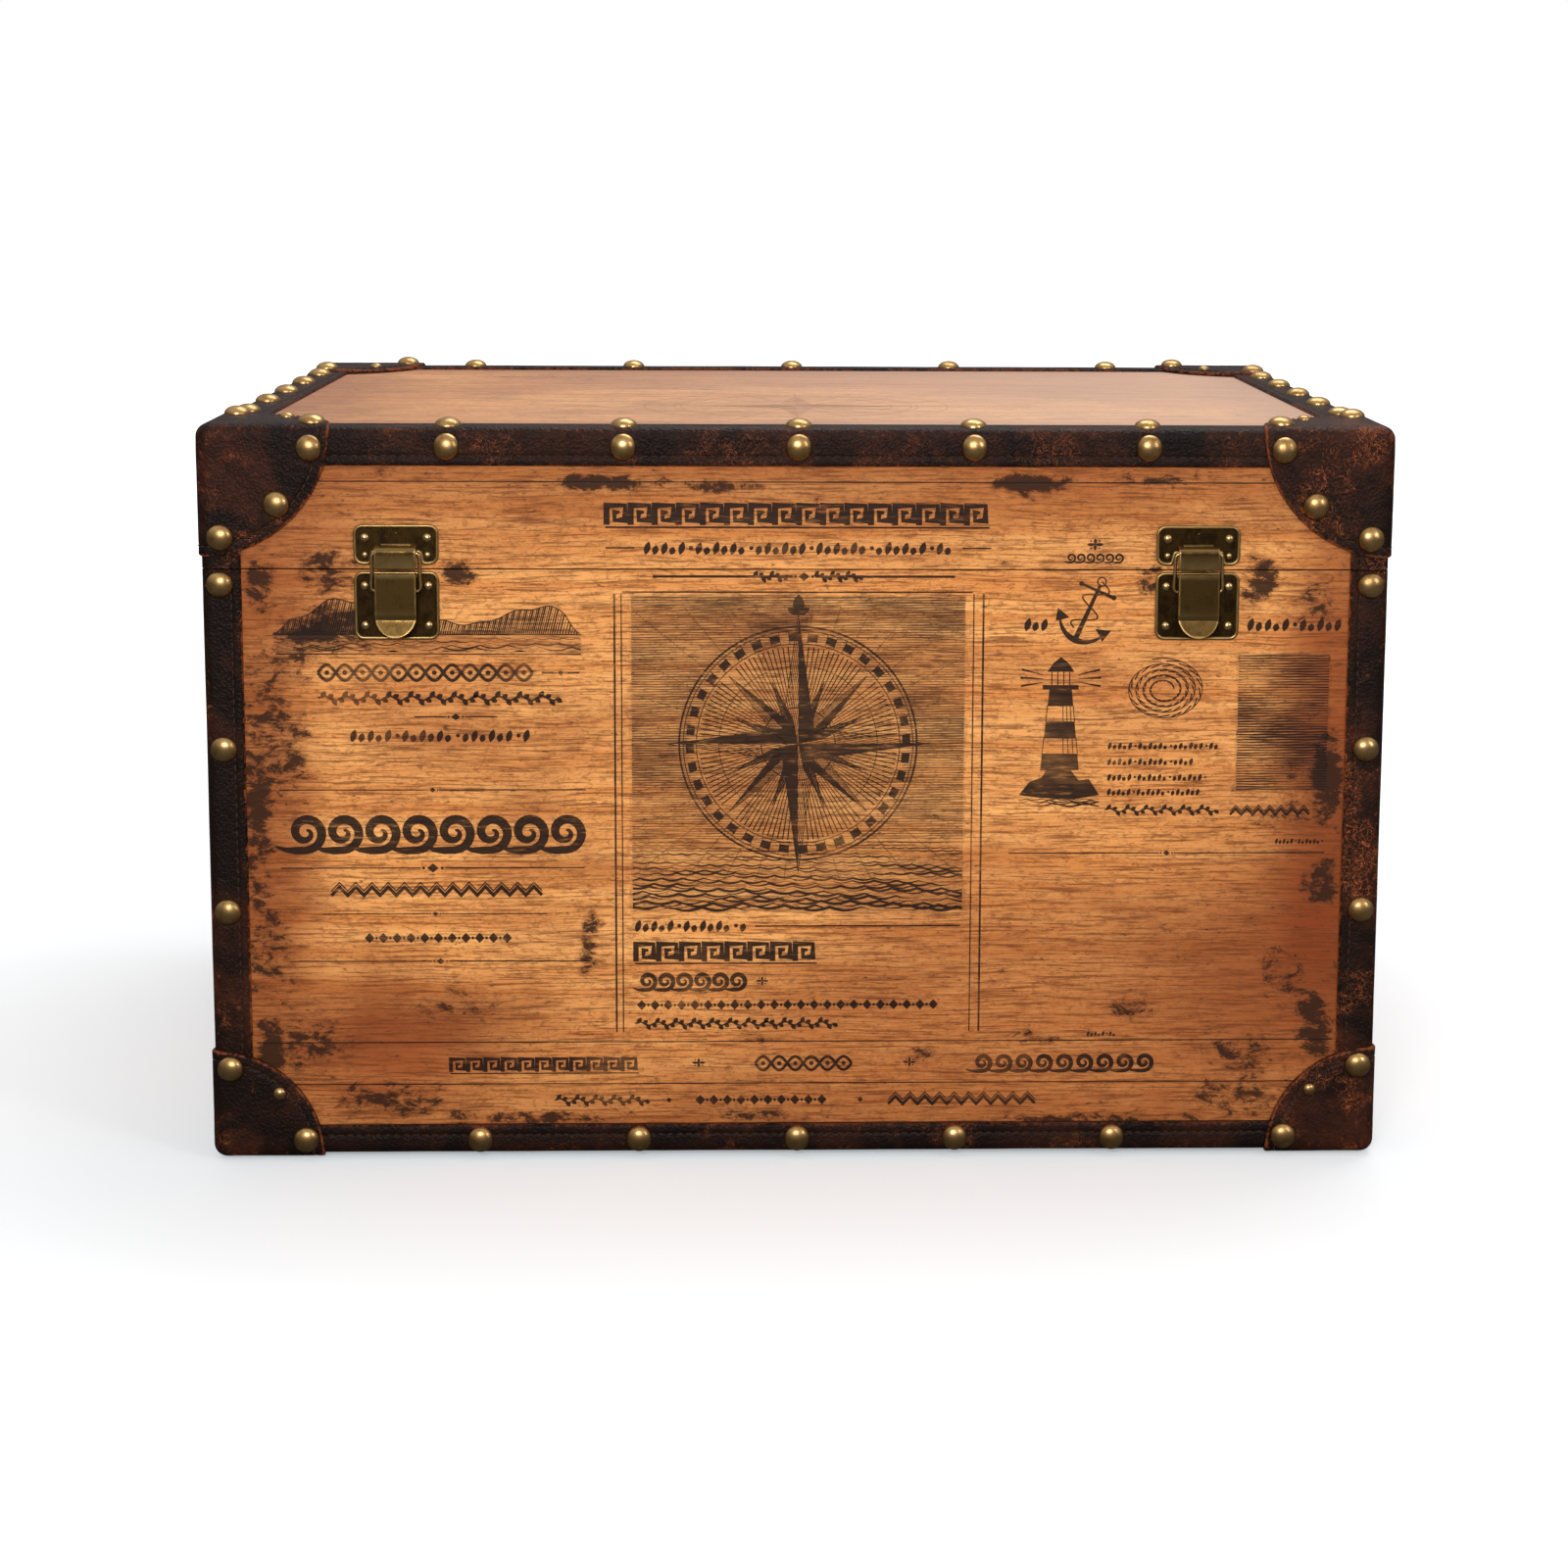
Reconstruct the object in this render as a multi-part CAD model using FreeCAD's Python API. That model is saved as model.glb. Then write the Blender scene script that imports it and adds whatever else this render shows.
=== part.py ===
import FreeCAD, Part
import math
import os

Vector = FreeCAD.Vector

# Wooden case, outside sizes without its leather
case_width = 656.0
case_depth = 456.0
body_height = 334.4
lid_height = 76.55
seam_gap = 0.8
board = 9.0
edge_bevel = 4.0
overrun = 20.0

# How many flats stand for a round
head_sides = 6
bar_sides = 8
drum_sides = 12
pad_sides = 24
bend_steps = 2

# Leather strips along the edges and leather pads on the corners
trim_leather = 2.0
pad_leather = 1.8
upright_width = 22.0
lid_strip_drop = 21.5
body_strip_rise = 17.0
top_front_flange = 23.0
top_side_flange = 26.0
bottom_flange = 25.0
body_pad_radius = 61.5
lid_pad_radius = 72.0

# Lining, glue blocks in the corners and the lip that guides the lid
lining = 1.0
lining_setback = 0.6
glue_block = 18.0
lip_thickness = 5.0
lip_below = 16.0
lip_above = 10.0
lip_relief = 0.8
lip_end_gap = 2.0

# Domed nails
nail_radius = 7.5
nail_height = 5.0
small_nail_radius = 3.9
small_nail_height = 2.4
shoulder_radius_share = 0.7
shoulder_height_share = 0.62
front_pitch_share = 0.376
back_pitch_share = 0.43
foot_pitch_share = 0.349
side_pitch_share = 0.43
upright_nail_pitch = 93.0
strip_nails_each_way = 2
upright_nails = 3
lid_strip_nail_inset = 10.75
body_strip_nail_inset = 9.0
upright_nail_inset = 10.5
rim_nail_inset = 8.0
top_nail_inset = 11.5
lid_pad_far = 61.0
lid_pad_near = 11.5
lid_pad_middle = 42.5
body_pad_far = 51.5
body_pad_near = 9.8
body_pad_middle = 37.0

# Foot glides
glide_height = 5.0
glide_radius = 9.0
glide_foot_radius = 6.0
glide_edge = 1.2
glide_inset_x = 68.0
glide_inset_y = 60.0

# Back hinges
hinge_inset = 138.0
hinge_leaf_width = 60.0
hinge_leaf_height = 26.0
hinge_leaf_thickness = 1.5
hinge_corner = 4.0
hinge_axis_out = 4.0
knuckle_radius = 3.4
knuckle_count = 3
knuckle_gap = 0.3
knuckle_clear = 0.8
tongue_gap = 0.9
hinge_pin_radius = 1.6
pin_clearance = 0.05
hinge_pin_overhang = 1.0
screw_radius = 3.2
screw_height = 1.3
screw_inset = 7.0

# Folding lid stays, one inside each end
stay_forward = 78.0
stay_rise = 45.0
stay_arm = 2.0
stay_arm_gap = 0.5
stay_arm_radius = 7.0
stay_waist = 9.0
stay_pin_radius = 2.5
stay_elbow_clearance = 0.1
stay_head_radius = 4.5
stay_head = 1.0
stay_play = 0.3
stay_wall_gap = 7.0
stay_boss_radius = 5.5
stay_plate = 1.5
stay_plate_width = 22.0
stay_plate_height = 30.0
stay_plate_corner = 4.0

# Latches on the front
latch_inset = 105.5
latch_width = 47.0
latch_plate = 1.8
latch_recess = 0.6
latch_rim = 2.0
latch_corner = 3.4
catch_low = 2.5
catch_high = 25.0
catch_mouth_half = 14.0
catch_mouth_top_half = 12.4
catch_mouth_top = 9.0
base_high = 1.2
base_low = 39.5
strap_half = 11.5
strap = 1.2
strap_out = 7.5
strap_top = 12.8
strap_low = 0.8
strap_roll = 3.2
wire_radius = 1.0
bail_clearance = 0.1
bail_axis_out = 4.3
bail_axis_up = 9.4
bail_bar_out = 3.4
bail_bar_down = 12.0
bail_half_top = 13.0
bail_half_low = 13.5
bail_bend = 2.4
bail_split = 0.6
ear_in = 8.6
ear_thickness = 1.3
bail_ear_margin = 1.8
lever_ear_margin = 1.35
lever_axis_out = 5.2
lever_axis_down = 3.4
lever_pin_radius = 1.0
lever_pin_overhang = 0.4
lever_out = 8.0
lever_sheet = 1.2
lever_top_down = 1.8
lever_bend_down = 24.6
lever_tip_down = 36.9
lever_tip_out = 11.4
lever_dip = 0.7
lever_dip_down = 27.6
cheek = 1.2
cheek_in = 2.6
cheek_heel_out = 3.1
cheek_heel_down = 4.0
cheek_low_down = 17.0
notch_half = 1.5
rivet_radius = 2.65
rivet_height = 1.5
small_rivet_radius = 1.9
small_rivet_height = 1.0
catch_rivet_across = 17.2
catch_rivet_up = 17.5
catch_small_rivet_up = 7.9
base_rivet_across = 17.4
base_rivet_high = 9.3
base_rivet_low = 31.5

# Drop handle on each end
handle_axis_z = 245.0
handle_axis_out = 11.0
handle_rod_radius = 3.0
handle_drop = 45.0
handle_half = 48.0
handle_bend = 9.0
handle_top_bend = 4.5
handle_pin_half = 71.0
handle_eye_middle = 63.0
handle_eye_length = 10.0
handle_eye_radius = 5.2
handle_clearance = 0.08
handle_plate = 1.5
handle_plate_width = 22.0
handle_plate_height = 42.0
handle_plate_corner = 7.0
handle_screw_up = 14.0
grip_half = 36.0
grip_shoulder = 22.0
grip_radius = 8.0
grip_end_radius = 6.0

# Places worked out from the sizes above
half_width = case_width / 2
half_depth = case_depth / 2
floor_z = glide_height
rim_z = floor_z + body_height
lid_rim_z = rim_z + seam_gap
top_z = lid_rim_z + lid_height
seam_z = rim_z + seam_gap / 2
outer_x = half_width + trim_leather
outer_y = half_depth + trim_leather
skin_low_z = floor_z - trim_leather
skin_top_z = top_z + trim_leather
pad_out = trim_leather + pad_leather
wrap = edge_bevel + trim_leather
inner_x = half_width - board
inner_y = half_depth - board
lined_x = inner_x - lining
lined_y = inner_y - lining
hinge_y = half_depth + hinge_axis_out
hinge_x = half_width - hinge_inset
latch_x = half_width - latch_inset
reach = case_width
walls = ("front", "back", "left", "right")
long_walls = ("front", "back")


def box(x0, x1, y0, y1, z0, z1):
    """Block between two corners."""
    return Part.makeBox(x1 - x0, y1 - y0, z1 - z0, Vector(x0, y0, z0))


def rod_x(radius, x0, x1, y, z):
    """Cylinder along X."""
    return Part.makeCylinder(radius, x1 - x0, Vector(x0, y, z), Vector(1, 0, 0))


def rod_y(radius, y0, y1, x, z):
    """Cylinder along Y."""
    return Part.makeCylinder(radius, y1 - y0, Vector(x, y0, z), Vector(0, 1, 0))


def joined(shapes):
    """Several shapes fused into one clean solid."""
    return shapes[0].fuse(shapes[1:]).removeSplitter()


def mirrored(shape):
    """The same shape on the other end of the case."""
    return shape.mirror(Vector(0, 0, 0), Vector(1, 0, 0))


def rounded_outline(points, radii):
    """Closed wire through points, each corner an arc of its own radius, or sharp where that is zero."""
    stops = []
    for i, corner in enumerate(points):
        if radii[i] == 0:
            stops.append((corner, corner, None))
            continue
        back = (points[i - 1] - corner).normalize()
        ahead = (points[(i + 1) % len(points)] - corner).normalize()
        half_angle = back.getAngle(ahead) / 2
        middle = (back + ahead).normalize()
        tangent = radii[i] / math.tan(half_angle)
        centre = corner + middle * (radii[i] / math.sin(half_angle))
        stops.append((corner + back * tangent, corner + ahead * tangent, centre - middle * radii[i]))
    edges = []
    for i, (start, end, arc_middle) in enumerate(stops):
        if arc_middle is not None:
            edges.append(Part.Arc(start, arc_middle, end).toShape())
        following = stops[(i + 1) % len(stops)][0]
        edges.append(Part.LineSegment(end, following).toShape())
    return Part.Wire(edges)


def bevelled_outline(centre, across, up, width, height, corner):
    """Closed wire of a rectangle with its corners cut off."""
    half_a = width / 2
    half_b = height / 2
    short_a = half_a - corner
    short_b = half_b - corner
    outline = [
        (-short_a, -half_b), (short_a, -half_b), (half_a, -short_b), (half_a, short_b),
        (short_a, half_b), (-short_a, half_b), (-half_a, short_b), (-half_a, -short_b),
    ]
    points = [centre + across * a + up * b for a, b in outline]
    return Part.makePolygon(points + points[:1])


def ring_solid(rings):
    """Solid with flat facets through matching rings of points, closed at both ends."""
    faces = [Part.Face(Part.makePolygon(ring + ring[:1])) for ring in (rings[0], rings[-1])]
    for low, high in zip(rings, rings[1:]):
        for i in range(len(low)):
            k = (i + 1) % len(low)
            faces.append(Part.Face(Part.makePolygon([low[i], low[k], high[k], high[i], low[i]])))
    return Part.makeSolid(Part.makeShell(faces))


def circle_points(centre, first, second, sides):
    """Corners of a regular polygon round a centre, in the plane of two equal radius vectors."""
    turns = [2 * math.pi * i / sides for i in range(sides)]
    return [centre + first * math.cos(a) + second * math.sin(a) for a in turns]


def drum(centres, radii, sides):
    """Turned piece with this many flats along the line of its centres, with a radius at each."""
    along = (centres[-1] - centres[0]).normalize()
    first = Vector(0, 0, 1) if abs(along.z) < 1 / 2 else Vector(1, 0, 0)
    second = along.cross(first)
    rings = [circle_points(c, first * r, second * r, sides) for c, r in zip(centres, radii)]
    return ring_solid(rings)


def drum_x(radius, x0, x1, y, z):
    """Many-sided rod along X inside a circle of this radius."""
    return drum([Vector(x0, y, z), Vector(x1, y, z)], [radius, radius], drum_sides)


def drum_bore_x(radius, x0, x1, y, z):
    """Many-sided cutter along X outside a circle of this radius."""
    return drum_x(radius / math.cos(math.pi / drum_sides), x0, x1, y, z)


def bent_bar(points, radii, radius):
    """Many-sided rod along points in one plane, bent to its own radius at each corner."""
    normal = (points[1] - points[0]).cross(points[2] - points[1]).normalize()
    path = [points[0]]
    for i in range(1, len(points) - 1):
        before = (points[i] - points[i - 1]).normalize()
        after = (points[i + 1] - points[i]).normalize()
        turn = before.getAngle(after)
        start = points[i] - before * (radii[i] * math.tan(turn / 2))
        axis = before.cross(after).normalize()
        spoke = before.cross(axis) * radii[i]
        centre = start - spoke
        for step in range(bend_steps + 1):
            swing = FreeCAD.Rotation(axis, math.degrees(turn) * step / bend_steps)
            path.append(centre + swing.multVec(spoke))
    path.append(points[-1])
    rings = []
    for i, point in enumerate(path):
        before = (point - path[i - 1]).normalize() if i > 0 else (path[1] - point).normalize()
        after = (path[i + 1] - point).normalize() if i < len(path) - 1 else before
        mitre = normal.cross((before + after).normalize()) * (radius / math.cos(before.getAngle(after) / 2))
        rings.append(circle_points(point, normal * radius, mitre, bar_sides))
    return ring_solid(rings)


def dome_head(radius, height, point, outward):
    """Domed nail head with flat facets, seated on a surface."""
    turn = 2 * math.pi / head_sides
    directions = [Vector(math.cos(i * turn), math.sin(i * turn), 0) for i in range(head_sides)]
    foot = [d * radius for d in directions]
    up = Vector(0, 0, height)
    shoulder = [d * (radius * shoulder_radius_share) + up * shoulder_height_share for d in directions]
    faces = [Part.Face(Part.makePolygon(foot + foot[:1]))]
    for i in range(head_sides):
        k = (i + 1) % head_sides
        faces.append(Part.Face(Part.makePolygon([foot[i], foot[k], shoulder[k], shoulder[i], foot[i]])))
        faces.append(Part.Face(Part.makePolygon([shoulder[i], shoulder[k], up, shoulder[i]])))
    head = Part.makeSolid(Part.makeShell(faces))
    head.Placement = FreeCAD.Placement(point, FreeCAD.Rotation(Vector(0, 0, 1), outward))
    return head


def on_wall(side, along, z, proud):
    """Point on one of the four walls, proud of its wood, and the way that wall faces."""
    sign = -1 if side in ("front", "left") else 1
    if side in long_walls:
        return Vector(along, sign * (half_depth + proud), z), Vector(0, sign, 0)
    return Vector(sign * (half_width + proud), along, z), Vector(sign, 0, 0)


def eased_block(grow, z_low, z_high, eased_z):
    """Block with the plan of the case, larger all round by grow, with its upright and end edges bevelled."""
    x = half_width + grow
    y = half_depth + grow
    block = box(-x, x, -y, y, z_low, z_high)
    edges = []
    for edge in block.Edges:
        upright = edge.BoundBox.ZLength > board
        at_end = abs(edge.BoundBox.Center.z - eased_z) < seam_gap
        if upright or at_end:
            edges.append(edge)
    return block.makeChamfer(edge_bevel + grow * (2 - math.sqrt(2)), edges)


def body_block(grow):
    """The body's outside, larger by grow except at the rim."""
    return eased_block(grow, floor_z - grow, rim_z, floor_z - grow)


def lid_block(grow):
    """The lid's outside, larger by grow except at the rim."""
    return eased_block(grow, lid_rim_z, top_z + grow, top_z + grow)


def wall_boards(block, z_low, z_high):
    """Front and back boards over the full width, with the end boards between them."""
    zones = {
        "front": box(-half_width, half_width, -half_depth, -inner_y, z_low, z_high),
        "back": box(-half_width, half_width, inner_y, half_depth, z_low, z_high),
        "left": box(-half_width, -inner_x, -inner_y, inner_y, z_low, z_high),
        "right": box(inner_x, half_width, -inner_y, inner_y, z_low, z_high),
    }
    return {side: zone.common(block) for side, zone in zones.items()}


def chamfered_prism(x, y, leg, z_low, z_high):
    """Upright prism whose four corners are cut off straight."""
    wire = bevelled_outline(Vector(0, 0, z_low), Vector(1, 0, 0), Vector(0, 1, 0), 2 * x, 2 * y, leg)
    return Part.Face(wire).extrude(Vector(0, 0, z_high - z_low))


def body_lining_shell():
    """Paper lining of the body, carried across the corners over the glue blocks."""
    low = floor_z + board
    high = rim_z - lining_setback
    inner_leg = glue_block - lining * (2 - math.sqrt(2))
    outside = chamfered_prism(inner_x, inner_y, glue_block, low, high)
    inside = chamfered_prism(lined_x, lined_y, inner_leg, low + lining, high + overrun)
    return outside.cut(inside)


def corner_blocks():
    """Three-cornered glue blocks behind the lining."""
    blocks = []
    for sx in (-1, 1):
        for sy in (-1, 1):
            corner = Vector(sx * inner_x, sy * inner_y, floor_z + board)
            along_x = corner - Vector(sx * glue_block, 0, 0)
            along_y = corner - Vector(0, sy * glue_block, 0)
            face = Part.Face(Part.makePolygon([corner, along_x, along_y, corner]))
            blocks.append(face.extrude(Vector(0, 0, body_height - board - lining_setback)))
    return Part.makeCompound(blocks)


def locating_lip():
    """Battens inside the rim, thinned above it so that the lid passes."""
    low = rim_z - lip_below
    high = rim_z + lip_above
    half_x = inner_x - glue_block - lip_end_gap
    half_y = inner_y - glue_block - lip_end_gap
    front = box(-half_x, half_x, -lined_y, -lined_y + lip_thickness, low, high)
    front = front.cut(box(-reach, reach, -lined_y, -lined_y + lip_relief, rim_z, high))
    right = box(lined_x - lip_thickness, lined_x, -half_y, half_y, low, high)
    right = right.cut(box(lined_x - lip_relief, lined_x, -reach, reach, rim_z, high))
    return Part.makeCompound([front, right, mirrored(right)])


def lid_lining_shell():
    """Paper lining of the lid, open below."""
    low = lid_rim_z + lining_setback
    high = top_z - board
    outside = box(-inner_x, inner_x, -inner_y, inner_y, low, high)
    return outside.cut(box(-lined_x, lined_x, -lined_y, lined_y, low - overrun, high - lining))


def edge_strips(skin, wall_low, wall_high, slab_low, slab_high, front_flange, side_flange):
    """Leather folded over the edges: front and back strips run through, the end strips lie between."""
    wrap_y = outer_y - wrap
    wrap_x = outer_x - wrap
    flange_y = outer_y - front_flange
    flange_x = outer_x - side_flange
    front = box(-reach, reach, -reach, -wrap_y, wall_low, wall_high)
    front = front.fuse(box(-reach, reach, -reach, -flange_y, slab_low, slab_high))
    back = box(-reach, reach, wrap_y, reach, wall_low, wall_high)
    back = back.fuse(box(-reach, reach, flange_y, reach, slab_low, slab_high))
    right = box(wrap_x, reach, -reach, reach, wall_low, wall_high)
    right = right.fuse(box(flange_x, reach, -reach, reach, slab_low, slab_high))
    right = right.cut(front).cut(back)
    zones = {"front": front, "back": back, "right": right, "left": mirrored(right)}
    return {side: skin.common(zone).removeSplitter() for side, zone in zones.items()}


def upright_strips(skin, z_low, z_high):
    """Leather angles on the four upright edges."""
    x = outer_x - upright_width
    y = outer_y - upright_width
    strips = []
    for sx in (-1, 1):
        for sy in (-1, 1):
            x_ends = sorted((sx * x, sx * reach))
            y_ends = sorted((sy * y, sy * reach))
            strips.append(skin.common(box(*x_ends, *y_ends, z_low, z_high)).removeSplitter())
    return Part.makeCompound(strips)


def corner_pads(skin, z, radius):
    """Leather pads shaped over the corners, round towards the walls."""
    pads = []
    for sx in (-1, 1):
        for sy in (-1, 1):
            pad = skin
            corner = Vector(sx * outer_x, sy * outer_y, z)
            for along in (Vector(reach, 0, 0), Vector(0, reach, 0), Vector(0, 0, reach)):
                cutter = drum([corner - along, corner + along], [radius, radius], pad_sides)
                pad = pad.common(cutter)
            pads.append(pad.removeSplitter())
    return Part.makeCompound(pads)


def wall_half(side):
    """Half the length of a wall over its leather."""
    return outer_x if side in long_walls else outer_y


def wall_pitch(side, front_share):
    """Distance between strip nails on a wall, a share of the half length that the lid's pads leave."""
    shares = {"front": front_share, "back": back_pitch_share}
    return (wall_half(side) - lid_pad_radius) * shares.get(side, side_pitch_share)


def nail_at(side, along, z, proud):
    """One large nail on a wall."""
    point, outward = on_wall(side, along, z, proud)
    return dome_head(nail_radius, nail_height, point, outward)


def body_nails():
    """Nails of the body: strips and pads all round, uprights on the two long walls."""
    nails = []
    for side in walls:
        half = wall_half(side)
        pitch = wall_pitch(side, foot_pitch_share)
        for i in range(-strip_nails_each_way, strip_nails_each_way + 1):
            nails.append(nail_at(side, i * pitch, skin_low_z + body_strip_nail_inset, trim_leather))
        for end in (-1, 1):
            nails.append(nail_at(side, end * (half - body_pad_far), skin_low_z + body_pad_near, pad_out))
            if side in long_walls:
                nails.append(nail_at(side, end * (half - body_pad_near), skin_low_z + body_pad_far, pad_out))
                for k in range(upright_nails):
                    z = rim_z - rim_nail_inset - k * upright_nail_pitch
                    nails.append(nail_at(side, end * (half - upright_nail_inset), z, trim_leather))
            middle_z = skin_low_z + body_pad_middle
            point, outward = on_wall(side, end * (half - body_pad_middle), middle_z, pad_out)
            nails.append(dome_head(small_nail_radius, small_nail_height, point, outward))
    return Part.makeCompound(nails)


def lid_wall_nails():
    """Nails of the lid's strips and corner pads on its four walls."""
    nails = []
    for side in walls:
        half = wall_half(side)
        pitch = wall_pitch(side, front_pitch_share)
        for i in range(-strip_nails_each_way, strip_nails_each_way + 1):
            nails.append(nail_at(side, i * pitch, skin_top_z - lid_strip_nail_inset, trim_leather))
        places = [(lid_pad_far, lid_pad_near), (lid_pad_middle, lid_pad_middle)]
        if side in long_walls:
            places.append((lid_pad_near, lid_pad_far))
        for end in (-1, 1):
            for a, b in places:
                nails.append(nail_at(side, end * (half - a), skin_top_z - b, pad_out))
    return nails


def lid_top_nails():
    """Nails of the lid's upper face."""
    up = Vector(0, 0, 1)
    nails = []
    front, back, side = [wall_pitch(name, front_pitch_share) for name in ("front", "back", "right")]
    for i in range(-strip_nails_each_way, strip_nails_each_way + 1):
        spots = [
            (i * front, -outer_y + top_nail_inset),
            (i * back, outer_y - top_nail_inset),
            (-outer_x + top_nail_inset, i * side),
            (outer_x - top_nail_inset, i * side),
        ]
        for x, y in spots:
            nails.append(dome_head(nail_radius, nail_height, Vector(x, y, skin_top_z), up))
    z = top_z + pad_out
    for sx in (-1, 1):
        for sy in (-1, 1):
            for a, b in ((lid_pad_far, lid_pad_near), (lid_pad_near, lid_pad_far)):
                spot = Vector(sx * (outer_x - a), sy * (outer_y - b), z)
                nails.append(dome_head(nail_radius, nail_height, spot, up))
            spot = Vector(sx * (outer_x - lid_pad_middle), sy * (outer_y - lid_pad_middle), z)
            nails.append(dome_head(small_nail_radius, small_nail_height, spot, up))
    return nails


def foot_glides():
    """Turned metal glides under the floor board."""
    levels = [Vector(0, 0, 0), Vector(0, 0, glide_edge), Vector(0, 0, glide_height)]
    glide_radii = [glide_foot_radius, (glide_foot_radius + glide_radius) / 2, glide_radius]
    glide = drum(levels, glide_radii, drum_sides)
    glides = []
    for sx in (-1, 1):
        for sy in (-1, 1):
            place = Vector(sx * (outer_x - glide_inset_x), sy * (outer_y - glide_inset_y), 0)
            glides.append(glide.translated(place))
    return Part.makeCompound(glides)


def hinge_leaf(x, up, knuckles):
    """One leaf on the back with its own knuckles; up is 1 for the lid's leaf, -1 for the body's."""
    start = knuckle_radius + knuckle_clear
    centre = Vector(x, half_depth, seam_z + up * (start + hinge_leaf_height / 2))
    size = (hinge_leaf_width, hinge_leaf_height, hinge_corner)
    outline = bevelled_outline(centre, Vector(1, 0, 0), Vector(0, 0, 1), *size)
    leaf = Part.Face(outline).extrude(Vector(0, hinge_leaf_thickness, 0))
    length = hinge_leaf_width / knuckle_count
    pieces = [leaf]
    bores = []
    bore_radius = hinge_pin_radius + pin_clearance
    for k in knuckles:
        x0 = x - hinge_leaf_width / 2 + k * length + knuckle_gap / 2
        x1 = x0 + length - knuckle_gap
        z_ends = sorted((seam_z + up * tongue_gap, seam_z + up * (start + hinge_corner)))
        pieces.append(box(x0, x1, half_depth, half_depth + hinge_leaf_thickness, *z_ends))
        pieces.append(drum_x(knuckle_radius, x0, x1, hinge_y, seam_z))
        bores.append(drum_bore_x(bore_radius, x0 - knuckle_gap, x1 + knuckle_gap, hinge_y, seam_z))
    solid = joined(pieces)
    for bore in bores:
        solid = solid.cut(bore)
    return solid


def hinge_leaves(up, knuckles):
    """The left and right leaf of the same kind."""
    return Part.makeCompound([hinge_leaf(sx * hinge_x, up, knuckles) for sx in (-1, 1)])


def hinge_pins():
    """Plain hinge pins, a little longer than their knuckles."""
    half = hinge_leaf_width / 2 + hinge_pin_overhang
    places = [sx * hinge_x for sx in (-1, 1)]
    return Part.makeCompound([rod_x(hinge_pin_radius, x - half, x + half, hinge_y, seam_z) for x in places])


def hinge_screws(up):
    """Three screw heads on each leaf."""
    start = knuckle_radius + knuckle_clear
    near = start + screw_inset
    far = start + hinge_leaf_height - screw_inset
    across = hinge_leaf_width / 2 - screw_inset
    leaf_y = half_depth + hinge_leaf_thickness
    screws = []
    for sx in (-1, 1):
        for along, out in ((-across, near), (across, near), (0, far)):
            point = Vector(sx * hinge_x + along, leaf_y, seam_z + up * out)
            screws.append(dome_head(screw_radius, screw_height, point, Vector(0, 1, 0)))
    return Part.makeCompound(screws)


def stay_point(forward, rise):
    """Y and Z of a stay pivot counted from the hinge axis, with forward towards the front."""
    return hinge_y - forward, seam_z + rise


def stay_link(start, end, x0, x1):
    """Flat arm with a round eye at each end and a narrower waist."""
    pieces = [rod_x(stay_arm_radius, x0, x1, *start), rod_x(stay_arm_radius, x0, x1, *end)]
    first = Vector(x0, start[0], start[1])
    last = Vector(x0, end[0], end[1])
    along = (last - first).normalize()
    across = Vector(1, 0, 0).cross(along) * (stay_waist / 2)
    outline = Part.makePolygon([first - across, last - across, last + across, first + across, first - across])
    pieces.append(Part.Face(outline).extrude(Vector(x1 - x0, 0, 0)))
    return joined(pieces)


def stay_bracket(y, z, arm_outer_x):
    """Plate on the lining with a boss, pin and head that hold an arm; the arm's outer face is given."""
    centre = Vector(lined_x - stay_plate, y, z)
    size = (stay_plate_width, stay_plate_height, stay_plate_corner)
    outline = bevelled_outline(centre, Vector(0, 1, 0), Vector(0, 0, 1), *size)
    plate = Part.Face(outline).extrude(Vector(stay_plate, 0, 0))
    boss_end = arm_outer_x + stay_play
    pin_end = arm_outer_x - stay_arm - stay_play
    boss = drum_x(stay_boss_radius, boss_end, lined_x - stay_plate, y, z)
    pin = drum_x(stay_pin_radius, pin_end, boss_end, y, z)
    head = drum_x(stay_head_radius, pin_end - stay_head, pin_end, y, z)
    return joined([plate, boss, pin, head])


stay_lower_outer_x = lined_x - stay_wall_gap
stay_upper_outer_x = stay_lower_outer_x - stay_arm - stay_arm_gap
stay_body_pivot = stay_point(stay_forward, -stay_rise)
stay_lid_pivot = stay_point(stay_forward, stay_rise)
stay_elbow = stay_point(2 * stay_forward, 0)


def pivot_hole(radius, pivot, x0, x1):
    """Cutter for a hole right through an arm."""
    return drum_bore_x(radius, x0 - stay_arm, x1 + stay_arm, *pivot)


def stay_lower_arm():
    """Arm from the body bracket to the elbow, with the elbow rivet fixed in it."""
    x1 = stay_lower_outer_x
    x0 = x1 - stay_arm
    arm = stay_link(stay_body_pivot, stay_elbow, x0, x1)
    arm = arm.cut(pivot_hole(stay_pin_radius + pin_clearance, stay_body_pivot, x0, x1))
    rivet_end = stay_upper_outer_x - stay_arm - stay_play
    rivet = drum_x(stay_pin_radius, rivet_end, x0, *stay_elbow)
    head = drum_x(stay_head_radius, rivet_end - stay_head, rivet_end, *stay_elbow)
    return joined([arm, rivet, head])


def stay_upper_arm():
    """Arm from the lid bracket to the elbow."""
    x1 = stay_upper_outer_x
    x0 = x1 - stay_arm
    arm = stay_link(stay_lid_pivot, stay_elbow, x0, x1)
    arm = arm.cut(pivot_hole(stay_pin_radius + pin_clearance, stay_lid_pivot, x0, x1))
    return arm.cut(pivot_hole(stay_pin_radius + stay_elbow_clearance, stay_elbow, x0, x1))


def latch_point(x, out, up):
    """Point of a latch: across from its middle, out from the front board, up from the seam."""
    return Vector(x, -half_depth - out, seam_z + up)


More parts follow.
